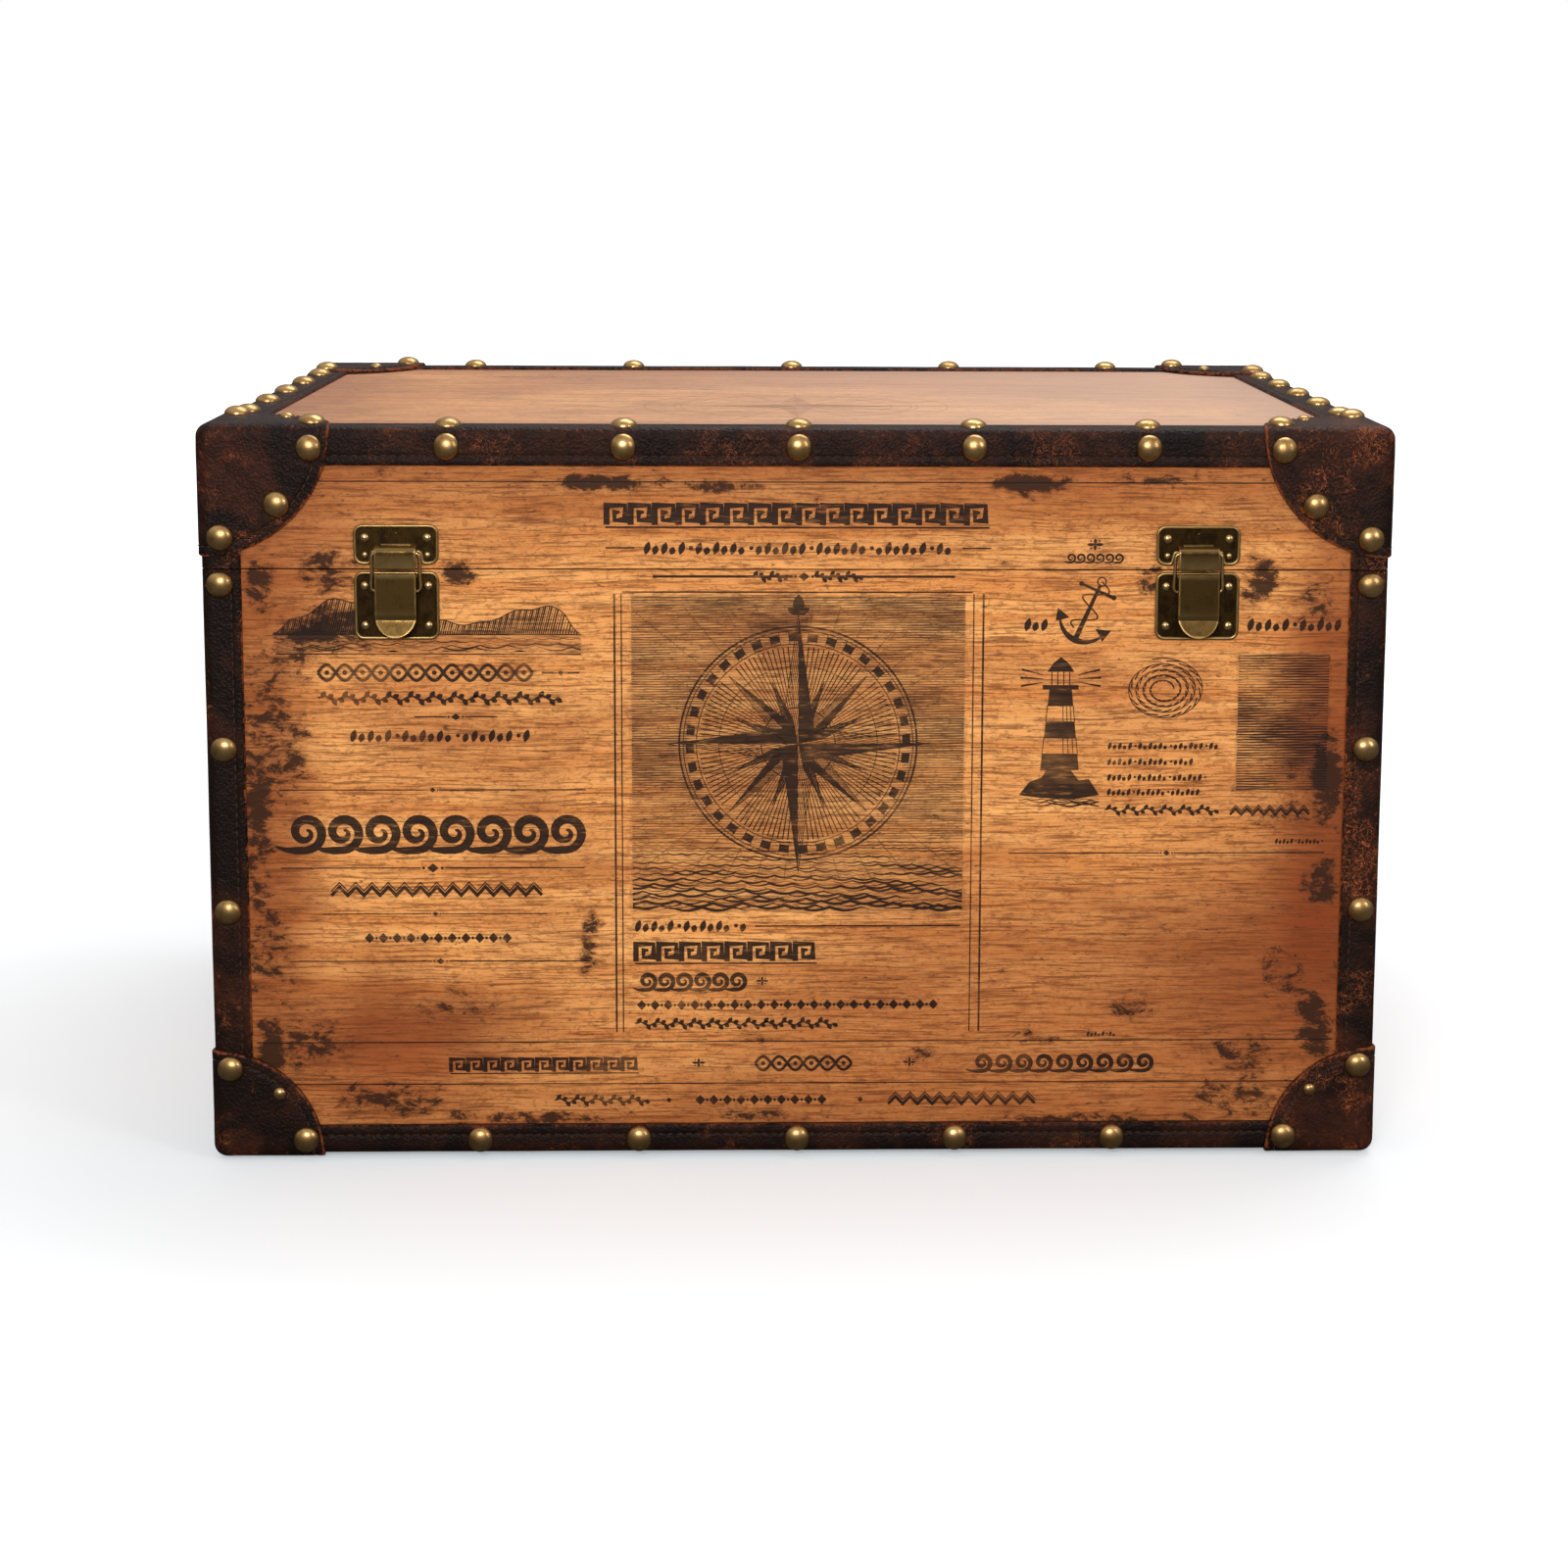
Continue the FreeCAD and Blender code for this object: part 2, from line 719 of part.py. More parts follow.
def latch_sheet(points, radii, x0, x1):
    """Bent sheet or flat side of a latch: an outline of out and up values, carried across from x0 to x1."""
    wire = rounded_outline([latch_point(x0, out, up) for out, up in points], radii)
    return Part.Face(wire).extrude(Vector(x1 - x0, 0, 0))


def latch_bore(radius, out, up):
    """Cutter for a hole across a latch."""
    return drum_bore_x(radius, -latch_width, latch_width, -half_depth - out, seam_z + up)


def rimmed_plate(up_low, up_high):
    """Stamped plate with a raised rim and a sunk field."""
    centre = latch_point(0, latch_plate, (up_low + up_high) / 2)
    height = up_high - up_low
    across = Vector(1, 0, 0)
    up = Vector(0, 0, 1)
    inward = Vector(0, latch_plate, 0)
    plate = Part.Face(bevelled_outline(centre, across, up, latch_width, height, latch_corner)).extrude(inward)
    corner = latch_corner - latch_rim
    field_size = (latch_width - 2 * latch_rim, height - 2 * latch_rim, corner)
    field = Part.Face(bevelled_outline(centre, across, up, *field_size)).extrude(Vector(0, latch_recess, 0))
    return plate.cut(field)


def latch_ears(out, up, hole_radius, margin):
    """Pair of ears that stand out of a plate and carry a pin."""
    root = latch_plate / 2
    tip = out + margin
    ears = []
    for x0 in (-ear_in - ear_thickness, ear_in):
        low = up - margin
        high = up + margin
        blunt = margin * (math.sqrt(2) - 1)
        points = [(root, low), (out, low), (tip, up - blunt), (tip, up + blunt), (out, high), (root, high)]
        ears.append(latch_sheet(points, [0] * len(points), x0, x0 + ear_thickness))
    return [ear.cut(latch_bore(hole_radius, out, up)) for ear in ears]


def latch_catch():
    """Lid plate with the strap rolled out of it and the ears that hold the bail."""
    plate = rimmed_plate(catch_low, catch_high)
    mouth = [(-catch_mouth_half, catch_low), (catch_mouth_half, catch_low)]
    mouth += [(catch_mouth_top_half, catch_mouth_top), (-catch_mouth_top_half, catch_mouth_top)]
    corners = [latch_point(x, latch_width, up) for x, up in mouth]
    opening = Part.Face(Part.makePolygon(corners + corners[:1]))
    plate = plate.cut(opening.extrude(Vector(0, 2 * latch_width, 0)))
    root = latch_plate / 2
    inside = strap_out - strap
    outline = [
        (root, strap_top), (strap_out, strap_top), (strap_out, strap_low),
        (inside, strap_low), (inside, strap_top - strap), (root, strap_top - strap),
    ]
    tab = latch_sheet(outline, [0, strap_roll, 0, 0, strap_roll - strap, 0], -strap_half, strap_half)
    hole = wire_radius + bail_clearance
    return joined([plate, tab] + latch_ears(bail_axis_out, bail_axis_up, hole, bail_ear_margin))


def latch_base():
    """Body plate with the ears that hold the lever's pin."""
    plate = rimmed_plate(-base_low, -base_high)
    hole = lever_pin_radius + pin_clearance
    return joined([plate] + latch_ears(lever_axis_out, -lever_axis_down, hole, lever_ear_margin))


def latch_lever():
    """Lever of bent sheet with a flared, rounded end, two cheeks and the notch for the bail."""
    inside = lever_out - lever_sheet
    dip = lever_out - lever_dip
    outline = [
        (lever_out, -lever_top_down), (lever_out, -lever_bend_down), (dip, -lever_dip_down),
        (lever_tip_out, -lever_tip_down), (lever_tip_out - lever_sheet, -lever_tip_down),
        (dip - lever_sheet, -lever_dip_down), (inside, -lever_bend_down), (inside, -lever_top_down),
    ]
    bend = [0, strap_roll, strap_roll, 0, 0, strap_roll, strap_roll, 0]
    face = latch_sheet(outline, bend, -strap_half, strap_half)
    end_up = -lever_tip_down + strap_half
    plan = box(-strap_half, strap_half, -reach, reach, seam_z + end_up, seam_z)
    plan = plan.fuse(rod_y(strap_half, -reach, reach, 0, seam_z + end_up))
    face = face.common(plan)
    middle = (inside + lever_out) / 2
    side = [
        (middle, -lever_top_down), (lever_axis_out - lever_pin_radius, -lever_top_down),
        (cheek_heel_out, -cheek_heel_down), (cheek_in, -bail_bar_down + 2 * notch_half),
        (cheek_in, -cheek_low_down), (middle, -lever_bend_down),
    ]
    notch = latch_bore(notch_half, bail_bar_out, -bail_bar_down)
    y_ends = sorted((-half_depth - bail_bar_out, -half_depth))
    low = seam_z - bail_bar_down - notch_half
    notch = notch.fuse(box(-latch_width, latch_width, *y_ends, low, low + 2 * notch_half))
    bore = latch_bore(lever_pin_radius + pin_clearance, lever_axis_out, -lever_axis_down)
    cheeks = []
    for x0 in (-strap_half, strap_half - cheek):
        plate = latch_sheet(side, [0, cheek, cheek, 0, cheek, 0], x0, x0 + cheek)
        cheeks.append(plate.cut(notch).cut(bore))
    return joined([face] + cheeks)


def latch_bail():
    """Wire loop whose ends meet in the ears behind the strap; its lower bar lies in the lever's notch."""
    split = bail_split / 2
    top_x = (split, bail_half_top, -bail_half_top, -split)
    top = [latch_point(x, bail_axis_out, bail_axis_up) for x in top_x]
    low = [latch_point(x, bail_bar_out, -bail_bar_down) for x in (bail_half_low, -bail_half_low)]
    points = top[:2] + low + top[2:]
    return bent_bar(points, [0, bail_bend, bail_bend, bail_bend, bail_bend, 0], wire_radius)


def lever_pin():
    """Pin through the lever's cheeks and the base plate's ears."""
    half = strap_half + lever_pin_overhang
    return drum_x(lever_pin_radius, -half, half, -half_depth - lever_axis_out, seam_z - lever_axis_down)


def latch_heads(places, radius, height):
    """Rivet heads on the sunk field of a latch plate, at both latches."""
    heads = []
    for middle in (-latch_x, latch_x):
        for sx in (-1, 1):
            for across, up in places:
                point = latch_point(middle + sx * across, latch_plate - latch_recess, up)
                heads.append(dome_head(radius, height, point, Vector(0, -1, 0)))
    return heads


def handle_bail():
    """Round bar of a drop handle, hanging from the two eyes on the right end."""
    x = half_width + handle_axis_out
    low = handle_axis_z - handle_drop
    top_y = (handle_pin_half, handle_half, -handle_half, -handle_pin_half)
    top = [Vector(x, y, handle_axis_z) for y in top_y]
    bottom = [Vector(x, handle_half, low), Vector(x, -handle_half, low)]
    points = top[:2] + bottom + top[2:]
    radii = [0, handle_top_bend, handle_bend, handle_bend, handle_top_bend, 0]
    return bent_bar(points, radii, handle_rod_radius)


def handle_bore(z):
    """Cutter for the hole that the handle's bar lies in, at a height."""
    x = half_width + handle_axis_out
    return rod_y(handle_rod_radius + handle_clearance, -half_depth, half_depth, x, z)


def handle_grip():
    """Leather grip round the handle's lower bar, fuller in the middle."""
    x = half_width + handle_axis_out
    z = handle_axis_z - handle_drop
    stations = [-grip_half, -grip_shoulder, grip_shoulder, grip_half]
    radii = [grip_end_radius, grip_radius, grip_radius, grip_end_radius]
    grip = drum([Vector(x, y, z) for y in stations], radii, drum_sides)
    return grip.cut(handle_bore(z))


def handle_mounts():
    """Two plates on the right end, each with the eye that a handle end turns in."""
    x = half_width + handle_axis_out
    mounts = []
    for sy in (-1, 1):
        middle = sy * handle_eye_middle
        centre = Vector(half_width, middle, handle_axis_z)
        size = (handle_plate_width, handle_plate_height, handle_plate_corner)
        outline = bevelled_outline(centre, Vector(0, 1, 0), Vector(0, 0, 1), *size)
        plate = Part.Face(outline).extrude(Vector(handle_plate, 0, 0))
        y0 = middle - handle_eye_length / 2
        y1 = middle + handle_eye_length / 2
        low = handle_axis_z - handle_eye_radius
        stem = box(half_width, x, y0, y1, low, low + 2 * handle_eye_radius)
        ends = [Vector(x, y, handle_axis_z) for y in (y0, y1)]
        eye = drum(ends, [handle_eye_radius, handle_eye_radius], drum_sides)
        mounts.append(joined([plate, stem, eye]).cut(handle_bore(handle_axis_z)))
    return Part.makeCompound(mounts)


def handle_screws():
    """Screw heads above and below each handle eye."""
    screws = []
    for sx in (-1, 1):
        for sy in (-1, 1):
            for up in (-handle_screw_up, handle_screw_up):
                point = Vector(sx * (half_width + handle_plate), sy * handle_eye_middle, handle_axis_z + up)
                screws.append(dome_head(screw_radius, screw_height, point, Vector(sx, 0, 0)))
    return Part.makeCompound(screws)


def body_parts():
    """Boards, lining and leather of the body."""
    wood = body_block(0)
    trimmed = body_block(trim_leather)
    skin = trimmed.cut(wood)
    strip_top = skin_low_z + body_strip_rise
    boards = wall_boards(wood, floor_z, rim_z)
    parts = {"body_" + side + "_board": shape for side, shape in boards.items()}
    parts["body_bottom_board"] = box(-inner_x, inner_x, -inner_y, inner_y, floor_z, floor_z + board)
    parts["body_corner_blocks"] = corner_blocks()
    parts["body_lining"] = body_lining_shell()
    parts["lid_locating_lip"] = locating_lip()
    strips = edge_strips(skin, skin_low_z, strip_top, skin_low_z, floor_z, bottom_flange, bottom_flange)
    for side, shape in strips.items():
        parts["body_" + side + "_trim"] = shape
    parts["body_upright_trims"] = upright_strips(skin, strip_top, rim_z)
    parts["body_corner_pads"] = corner_pads(body_block(pad_out).cut(trimmed), skin_low_z, body_pad_radius)
    parts["body_dome_nails"] = body_nails()
    parts["foot_glides"] = foot_glides()
    return parts


def lid_parts():
    """Boards, lining and leather of the lid."""
    wood = lid_block(0)
    trimmed = lid_block(trim_leather)
    skin = trimmed.cut(wood)
    strip_low = skin_top_z - lid_strip_drop
    boards = wall_boards(wood, lid_rim_z, top_z - board)
    parts = {"lid_" + side + "_board": shape for side, shape in boards.items()}
    parts["lid_top_board"] = box(-reach, reach, -reach, reach, top_z - board, top_z).common(wood)
    parts["lid_lining"] = lid_lining_shell()
    strips = edge_strips(skin, strip_low, skin_top_z, top_z, skin_top_z, top_front_flange, top_side_flange)
    for side, shape in strips.items():
        parts["lid_" + side + "_trim"] = shape
    parts["lid_upright_trims"] = upright_strips(skin, lid_rim_z, strip_low)
    parts["lid_corner_pads"] = corner_pads(lid_block(pad_out).cut(trimmed), skin_top_z, lid_pad_radius)
    parts["lid_dome_nails"] = Part.makeCompound(lid_wall_nails() + lid_top_nails())
    return parts


def hinge_parts():
    """Back hinges: the body has the outer knuckles, the lid the one between."""
    return {
        "hinge_body_leaves": hinge_leaves(-1, range(0, knuckle_count, 2)),
        "hinge_lid_leaves": hinge_leaves(1, range(1, knuckle_count, 2)),
        "hinge_pins": hinge_pins(),
        "hinge_body_screws": hinge_screws(-1),
        "hinge_lid_screws": hinge_screws(1),
    }


def stay_parts():
    """Lid stays at both ends."""
    body_bracket = stay_bracket(*stay_body_pivot, stay_lower_outer_x)
    lid_bracket = stay_bracket(*stay_lid_pivot, stay_upper_outer_x)
    lower = stay_lower_arm()
    upper = stay_upper_arm()
    return {
        "stay_body_brackets": Part.makeCompound([body_bracket, mirrored(body_bracket)]),
        "stay_lid_brackets": Part.makeCompound([lid_bracket, mirrored(lid_bracket)]),
        "stay_lower_arm_right": lower,
        "stay_lower_arm_left": mirrored(lower),
        "stay_upper_arm_right": upper,
        "stay_upper_arm_left": mirrored(upper),
    }


def latch_parts():
    """The two latches and their rivets."""
    ends = {"_left": -latch_x, "_right": latch_x}
    parts = {}
    for maker in (latch_catch, latch_base, latch_lever, latch_bail):
        shape = maker()
        for end, x in ends.items():
            parts[maker.__name__ + end] = shape.translated(Vector(x, 0, 0))
    pin = lever_pin()
    parts["latch_lever_pins"] = Part.makeCompound([pin.translated(Vector(x, 0, 0)) for x in ends.values()])
    base_places = [(base_rivet_across, -base_rivet_high), (base_rivet_across, -base_rivet_low)]
    parts["latch_base_rivets"] = Part.makeCompound(latch_heads(base_places, rivet_radius, rivet_height))
    large = latch_heads([(catch_rivet_across, catch_rivet_up)], rivet_radius, rivet_height)
    small = latch_heads([(catch_rivet_across, catch_small_rivet_up)], small_rivet_radius, small_rivet_height)
    parts["latch_catch_rivets"] = Part.makeCompound(large + small)
    return parts


def handle_parts():
    """Drop handles at both ends."""
    parts = {"handle_screws": handle_screws()}
    for maker in (handle_bail, handle_grip, handle_mounts):
        shape = maker()
        parts[maker.__name__ + "_right"] = shape
        parts[maker.__name__ + "_left"] = mirrored(shape)
    return parts


def main():
    """Build every part and write one file for each."""
    os.makedirs("parts", exist_ok=True)
    parts = {}
    for group in (body_parts, lid_parts, hinge_parts, stay_parts, latch_parts, handle_parts):
        parts.update(group())
    for name, shape in parts.items():
        shape.exportStep("parts/" + name + ".step")
        print(name, len(shape.Solids), "solids, volume", round(shape.Volume, 1), "valid", shape.isValid())
    print(len(parts), "parts")


main()
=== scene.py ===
# %% [markdown]
# # A nailed travel trunk, dressed around its engineered frame
# The trunk already exists as solid parts: boards, hinges, latches and handles at their real size.
# Blender's share is what the eye sees: leather folded over the edges, stitches, domed nails,
# worn wood with an engraved print, antiqued brass. Every new piece is worked out with numpy in the
# same coordinates as the frame, so nothing has to be fitted by eye.

# %% Load the frame
import math

import bmesh
import bpy
import numpy as np
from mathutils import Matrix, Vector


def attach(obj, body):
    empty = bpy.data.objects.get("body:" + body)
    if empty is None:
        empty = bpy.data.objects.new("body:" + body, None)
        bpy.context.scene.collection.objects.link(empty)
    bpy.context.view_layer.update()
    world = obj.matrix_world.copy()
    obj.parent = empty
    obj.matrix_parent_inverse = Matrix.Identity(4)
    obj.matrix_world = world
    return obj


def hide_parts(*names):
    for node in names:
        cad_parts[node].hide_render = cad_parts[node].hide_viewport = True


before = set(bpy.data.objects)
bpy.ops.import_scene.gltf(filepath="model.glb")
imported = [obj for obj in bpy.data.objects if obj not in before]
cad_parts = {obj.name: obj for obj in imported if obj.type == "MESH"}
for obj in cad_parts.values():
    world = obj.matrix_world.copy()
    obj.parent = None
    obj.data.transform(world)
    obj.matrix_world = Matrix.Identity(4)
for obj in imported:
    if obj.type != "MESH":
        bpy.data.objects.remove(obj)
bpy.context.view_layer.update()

# %% [markdown]
# The sizes below are the joiner's sizes in millimetres. Blender works in metres, so one factor
# turns every finished mesh from millimetres into metres just before it is made. Most pieces come
# twice, for the lid and for the body: each half has a name, the body it rides on, the level of its
# outer face and the way along Z in which its leather is folded.

# %% Sizes of the trunk in millimetres
MM = 0.001
half_x = 328.0
half_y = 228.0
wood_low = 5.0
rim = 339.4
lid_rim = 340.2
seam = 339.8
lid_top = 416.75
edge_round = 4.0
strip = 2.0
pad_height = 3.8
skin_x = half_x + strip
skin_y = half_y + strip
skin_low = wood_low - strip
skin_top = lid_top + strip
lid_drop = 21.5
foot_rise = 17.0
front_flange = 23.0
side_flange = 26.0
foot_flange = 25.0
upright = 22.0
stitch_inset = 5.6
stitch_pitch = 5.3
lid_pad = 72.0
foot_pad = 61.5
halves = (("lid", "lid", skin_top, -1), ("body", "case", skin_low, 1))
signs = [(-1, -1), (1, -1), (-1, 1), (1, 1)]
ends = (("left", -1), ("right", 1))

# %% [markdown]
# A shape here is a pair: an array of points and a list of faces that index it. Grids and lofts are
# computed as whole arrays. One function at the end turns shapes into a Blender object: it merges
# doubles, points the faces outwards, keeps crisp edges crisp, and lets the piece ride on a body.

# %% Shapes as arrays
weld_distance = 0.000004
sliver_length = 0.000002
crisp_angle = 40.0
metal_angle = 35.0


def grid_faces(rows, cols, wrap=False):
    """Quads between neighbouring points of a rows by cols grid; wrap joins the last column to the first."""
    lines = np.meshgrid(np.arange(rows - 1), np.arange(cols if wrap else cols - 1), indexing="ij")
    i, j = [line.ravel() for line in lines]
    i2 = i + 1
    j2 = (j + 1) % cols
    return np.stack([i * cols + j, i2 * cols + j, i2 * cols + j2, i * cols + j2], -1).tolist()


def joined(shapes):
    """One shape from several: points stacked, face numbers moved on by the points before them."""
    points = []
    faces = []
    count = 0
    for shape_points, shape_faces in shapes:
        points.append(shape_points)
        faces += [[k + count for k in face] for face in shape_faces]
        count += len(shape_points)
    return np.concatenate(points), faces


def loft(rings):
    """Skin over closed rings of equal length, an array (rings, points, 3), with a flat face at each end."""
    rows, cols = rings.shape[:2]
    faces = grid_faces(rows, cols, wrap=True)
    faces.append(list(range(cols)))
    faces.append([(rows - 1) * cols + k for k in range(cols)])
    return rings.reshape(-1, 3), faces


def placed(points, origin, across, up, out):
    """Local (a, b, c) points carried to origin + a * across + b * up + c * out."""
    basis = np.array([across, up, out], float)
    return np.asarray(points, float) @ basis + np.asarray(origin, float)


def unit(vectors):
    """Vectors brought to length 1."""
    return vectors / np.linalg.norm(vectors, axis=-1, keepdims=True)


def around(angle):
    """Points of a circle of radius 1 at angles in radians: cosine and sine."""
    return np.stack([np.cos(angle), np.sin(angle)], -1)


def bell(distance, width):
    """Bell curve: e to minus the square of distance over width."""
    return np.exp(-((distance / width) ** 2))


def step(low, high, value):
    """Smooth step: 0 below low, 1 above high, 3t^2 - 2t^3 between."""
    t = np.clip((np.asarray(value, float) - low) / (high - low), 0, 1)
    return t * t * (3 - 2 * t)


def ripple(s, phase):
    """Slow unevenness of hand-laid leather: three sine waves of unlike length, between -1 and 1."""
    waves = np.sin(s / 31.0 + phase) + np.sin(s / 13.7 + 2.3 * phase) * 0.6
    return (waves + np.sin(s / 6.1 + 4.1 * phase) * 0.3) / 1.9


def make_piece(name, shapes, material, body, sharp=crisp_angle, worn=None, closed=True):
    """Mesh object from shapes in millimetres; sharp is the angle past which an edge stays crisp."""
    points, faces = joined(shapes)
    mesh = bpy.data.meshes.new(name)
    mesh.from_pydata((points * MM).tolist(), [], faces)
    if worn is not None:
        layer = mesh.attributes.new("worn", "FLOAT", "POINT")
        layer.data.foreach_set("value", np.asarray(worn, np.float32))
    piece = bpy.data.objects.new(name, mesh)
    bpy.context.scene.collection.objects.link(piece)
    if closed:
        work = bmesh.new()
        work.from_mesh(mesh)
        bmesh.ops.remove_doubles(work, verts=work.verts, dist=weld_distance)
        bmesh.ops.dissolve_degenerate(work, edges=work.edges, dist=sliver_length)
        bmesh.ops.recalc_face_normals(work, faces=work.faces)
        work.to_mesh(mesh)
        work.free()
    mesh.shade_smooth()
    mesh.set_sharp_from_angle(angle=math.radians(sharp))
    mesh.materials.append(material)
    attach(piece, body)
    print(name, len(mesh.vertices), "points", len(mesh.polygons), "faces")
    return piece

# %% [markdown]
# ## Materials
# Effects that several finishes share are node groups with named inputs: wood with its stains,
# leather with its rubbed places, brass with its patina. The groups give colours, roughness values
# and heights; the Principled shader itself stays in each material. All patterns are measured in
# object coordinates, which here are the trunk's own metres.

# %% Helpers for nodes
def srgb(red, green, blue):
    """Screen colour 0 to 255 as the linear colour that shaders use."""
    levels = np.array([red, green, blue]) / 255
    linear = np.where(levels <= 0.04045, levels / 12.92, ((levels + 0.055) / 1.055) ** 2.4)
    return (*linear.tolist(), 1.0)


def fill(tree, item, inputs):
    """Gives a node's inputs their links, or their constant values on the node's own sockets."""
    for key, value in inputs.items():
        if isinstance(value, bpy.types.NodeSocket):
            tree.links.new(value, item.inputs[key])
        else:
            item.inputs[key].default_value = value


def put(tree, kind, inputs=None, **options):
    """Adds a node, sets its options and fills its inputs."""
    item = tree.nodes.new("ShaderNode" + kind)
    for key, value in options.items():
        setattr(item, key, value)
    fill(tree, item, inputs or {})
    return item


def calc(tree, operation, first, second=0.0):
    """One arithmetic step; gives its result's socket."""
    return put(tree, "Math", {0: first, 1: second}, operation=operation).outputs[0]


def ramp(tree, value, low, high, start=0.0, end=1.0):
    """Smooth passage from start to end while value goes from low to high."""
    inputs = {"Value": value, "From Min": low, "From Max": high, "To Min": start, "To Max": end}
    return put(tree, "MapRange", inputs, interpolation_type="SMOOTHSTEP").outputs[0]


def tint(tree, factor, first, second, mode="MIX"):
    """First colour turned into the second by factor."""
    item = put(tree, "Mix", {0: factor, 6: first, 7: second}, data_type="RGBA", blend_type=mode)
    return item.outputs[2]


def cloud(tree, vector, scale, detail, roughness=0.5, distortion=0.0):
    """Fractal noise after stretching the coordinates by scale in 1/m: one number, or one for each axis."""
    scale = scale if isinstance(scale, tuple) else (scale, scale, scale)
    stretched = put(tree, "Mapping", {"Vector": vector, "Scale": scale}, vector_type="POINT")
    inputs = {"Vector": stretched.outputs[0], "Scale": 1.0, "Detail": detail}
    inputs.update({"Roughness": roughness, "Distortion": distortion})
    return put(tree, "TexNoise", inputs).outputs["Fac"]


def begin_group(name, inputs, outputs):
    """Empty node group with its named sockets; gives the group, its input and output sockets."""
    group = bpy.data.node_groups.new(name, "ShaderNodeTree")
    for label, kind in inputs.items():
        group.interface.new_socket(label, in_out="INPUT", socket_type="NodeSocket" + kind)
    for label, kind in outputs.items():
        group.interface.new_socket(label, in_out="OUTPUT", socket_type="NodeSocket" + kind)
    source = group.nodes.new("NodeGroupInput").outputs
    result = group.nodes.new("NodeGroupOutput").inputs
    return group, source, result


def give(group, result, **values):
    """Links finished values to the group's output sockets of those names."""
    for label, value in values.items():
        group.links.new(value, result[label])


def use_group(tree, group, inputs):
    """The group as a node of this tree."""
    item = put(tree, "Group", node_tree=group)
    fill(tree, item, inputs)
    return item.outputs


def new_material(name):
    """Material with a Principled shader; gives it, its tree and that shader."""
    material = bpy.data.materials.new(name)
    material.use_nodes = True
    tree = material.node_tree
    return material, tree, tree.nodes["Principled BSDF"]


def object_position(tree):
    """Object coordinates, in metres on the trunk."""
    return put(tree, "TexCoord").outputs["Object"]


def rubbed_and_highlight_amount(tree):
    """The piece's own attribute: 1 where hands and cloths rub it and, on the latch brass, also where a
    highlight is painted; 0 elsewhere.
    """
    return put(tree, "Attribute", attribute_name="worn").outputs["Fac"]


def centred(tree, value, weight):
    """A noise value between 0 and 1 turned into one around zero, times weight."""
    return calc(tree, "MULTIPLY", calc(tree, "SUBTRACT", value, 0.5), weight)


def surface(tree, shader, color, rough, height, depth, shine=0.5):
    """Feeds the shader: colour, roughness, shine and a height pattern as a bump this deep in metres."""
    bump = put(tree, "Bump", {"Strength": 1.0, "Distance": depth, "Height": height}).outputs[0]
    fill(tree, shader, {"Base Color": color, "Roughness": rough, "Normal": bump, "Specular IOR Level": shine})

# %% [markdown]
# The boards look like old stained pine: fine lines along the grain, honey in the middle of a face,
# redder and darker towards its edges (partly grime, partly painted shade beside the leather), and
# black-brown stains where damp and hands have been. The group works in face coordinates: X along the
# grain, Z across it. A bias raises the stains where the trunk has most of them, and a second input
# darkens and reddens patches as painted shade.

# %% Wood group
honey = srgb(240, 170, 98)
amber = srgb(216, 137, 70)
chestnut = srgb(166, 92, 44)
hazel = srgb(160, 90, 44)
straw = srgb(228, 170, 108)
shade_red = srgb(150, 74, 34)
russet_grime_and_shade = srgb(136, 64, 26)
walnut = srgb(128, 70, 34)
umber = srgb(104, 52, 23)
stain_rim = srgb(106, 57, 28)
stain_heart = srgb(48, 27, 16)
chip_brown = srgb(72, 42, 26)
sheen_white = srgb(230, 206, 188)
ink_brown = srgb(30, 18, 13)


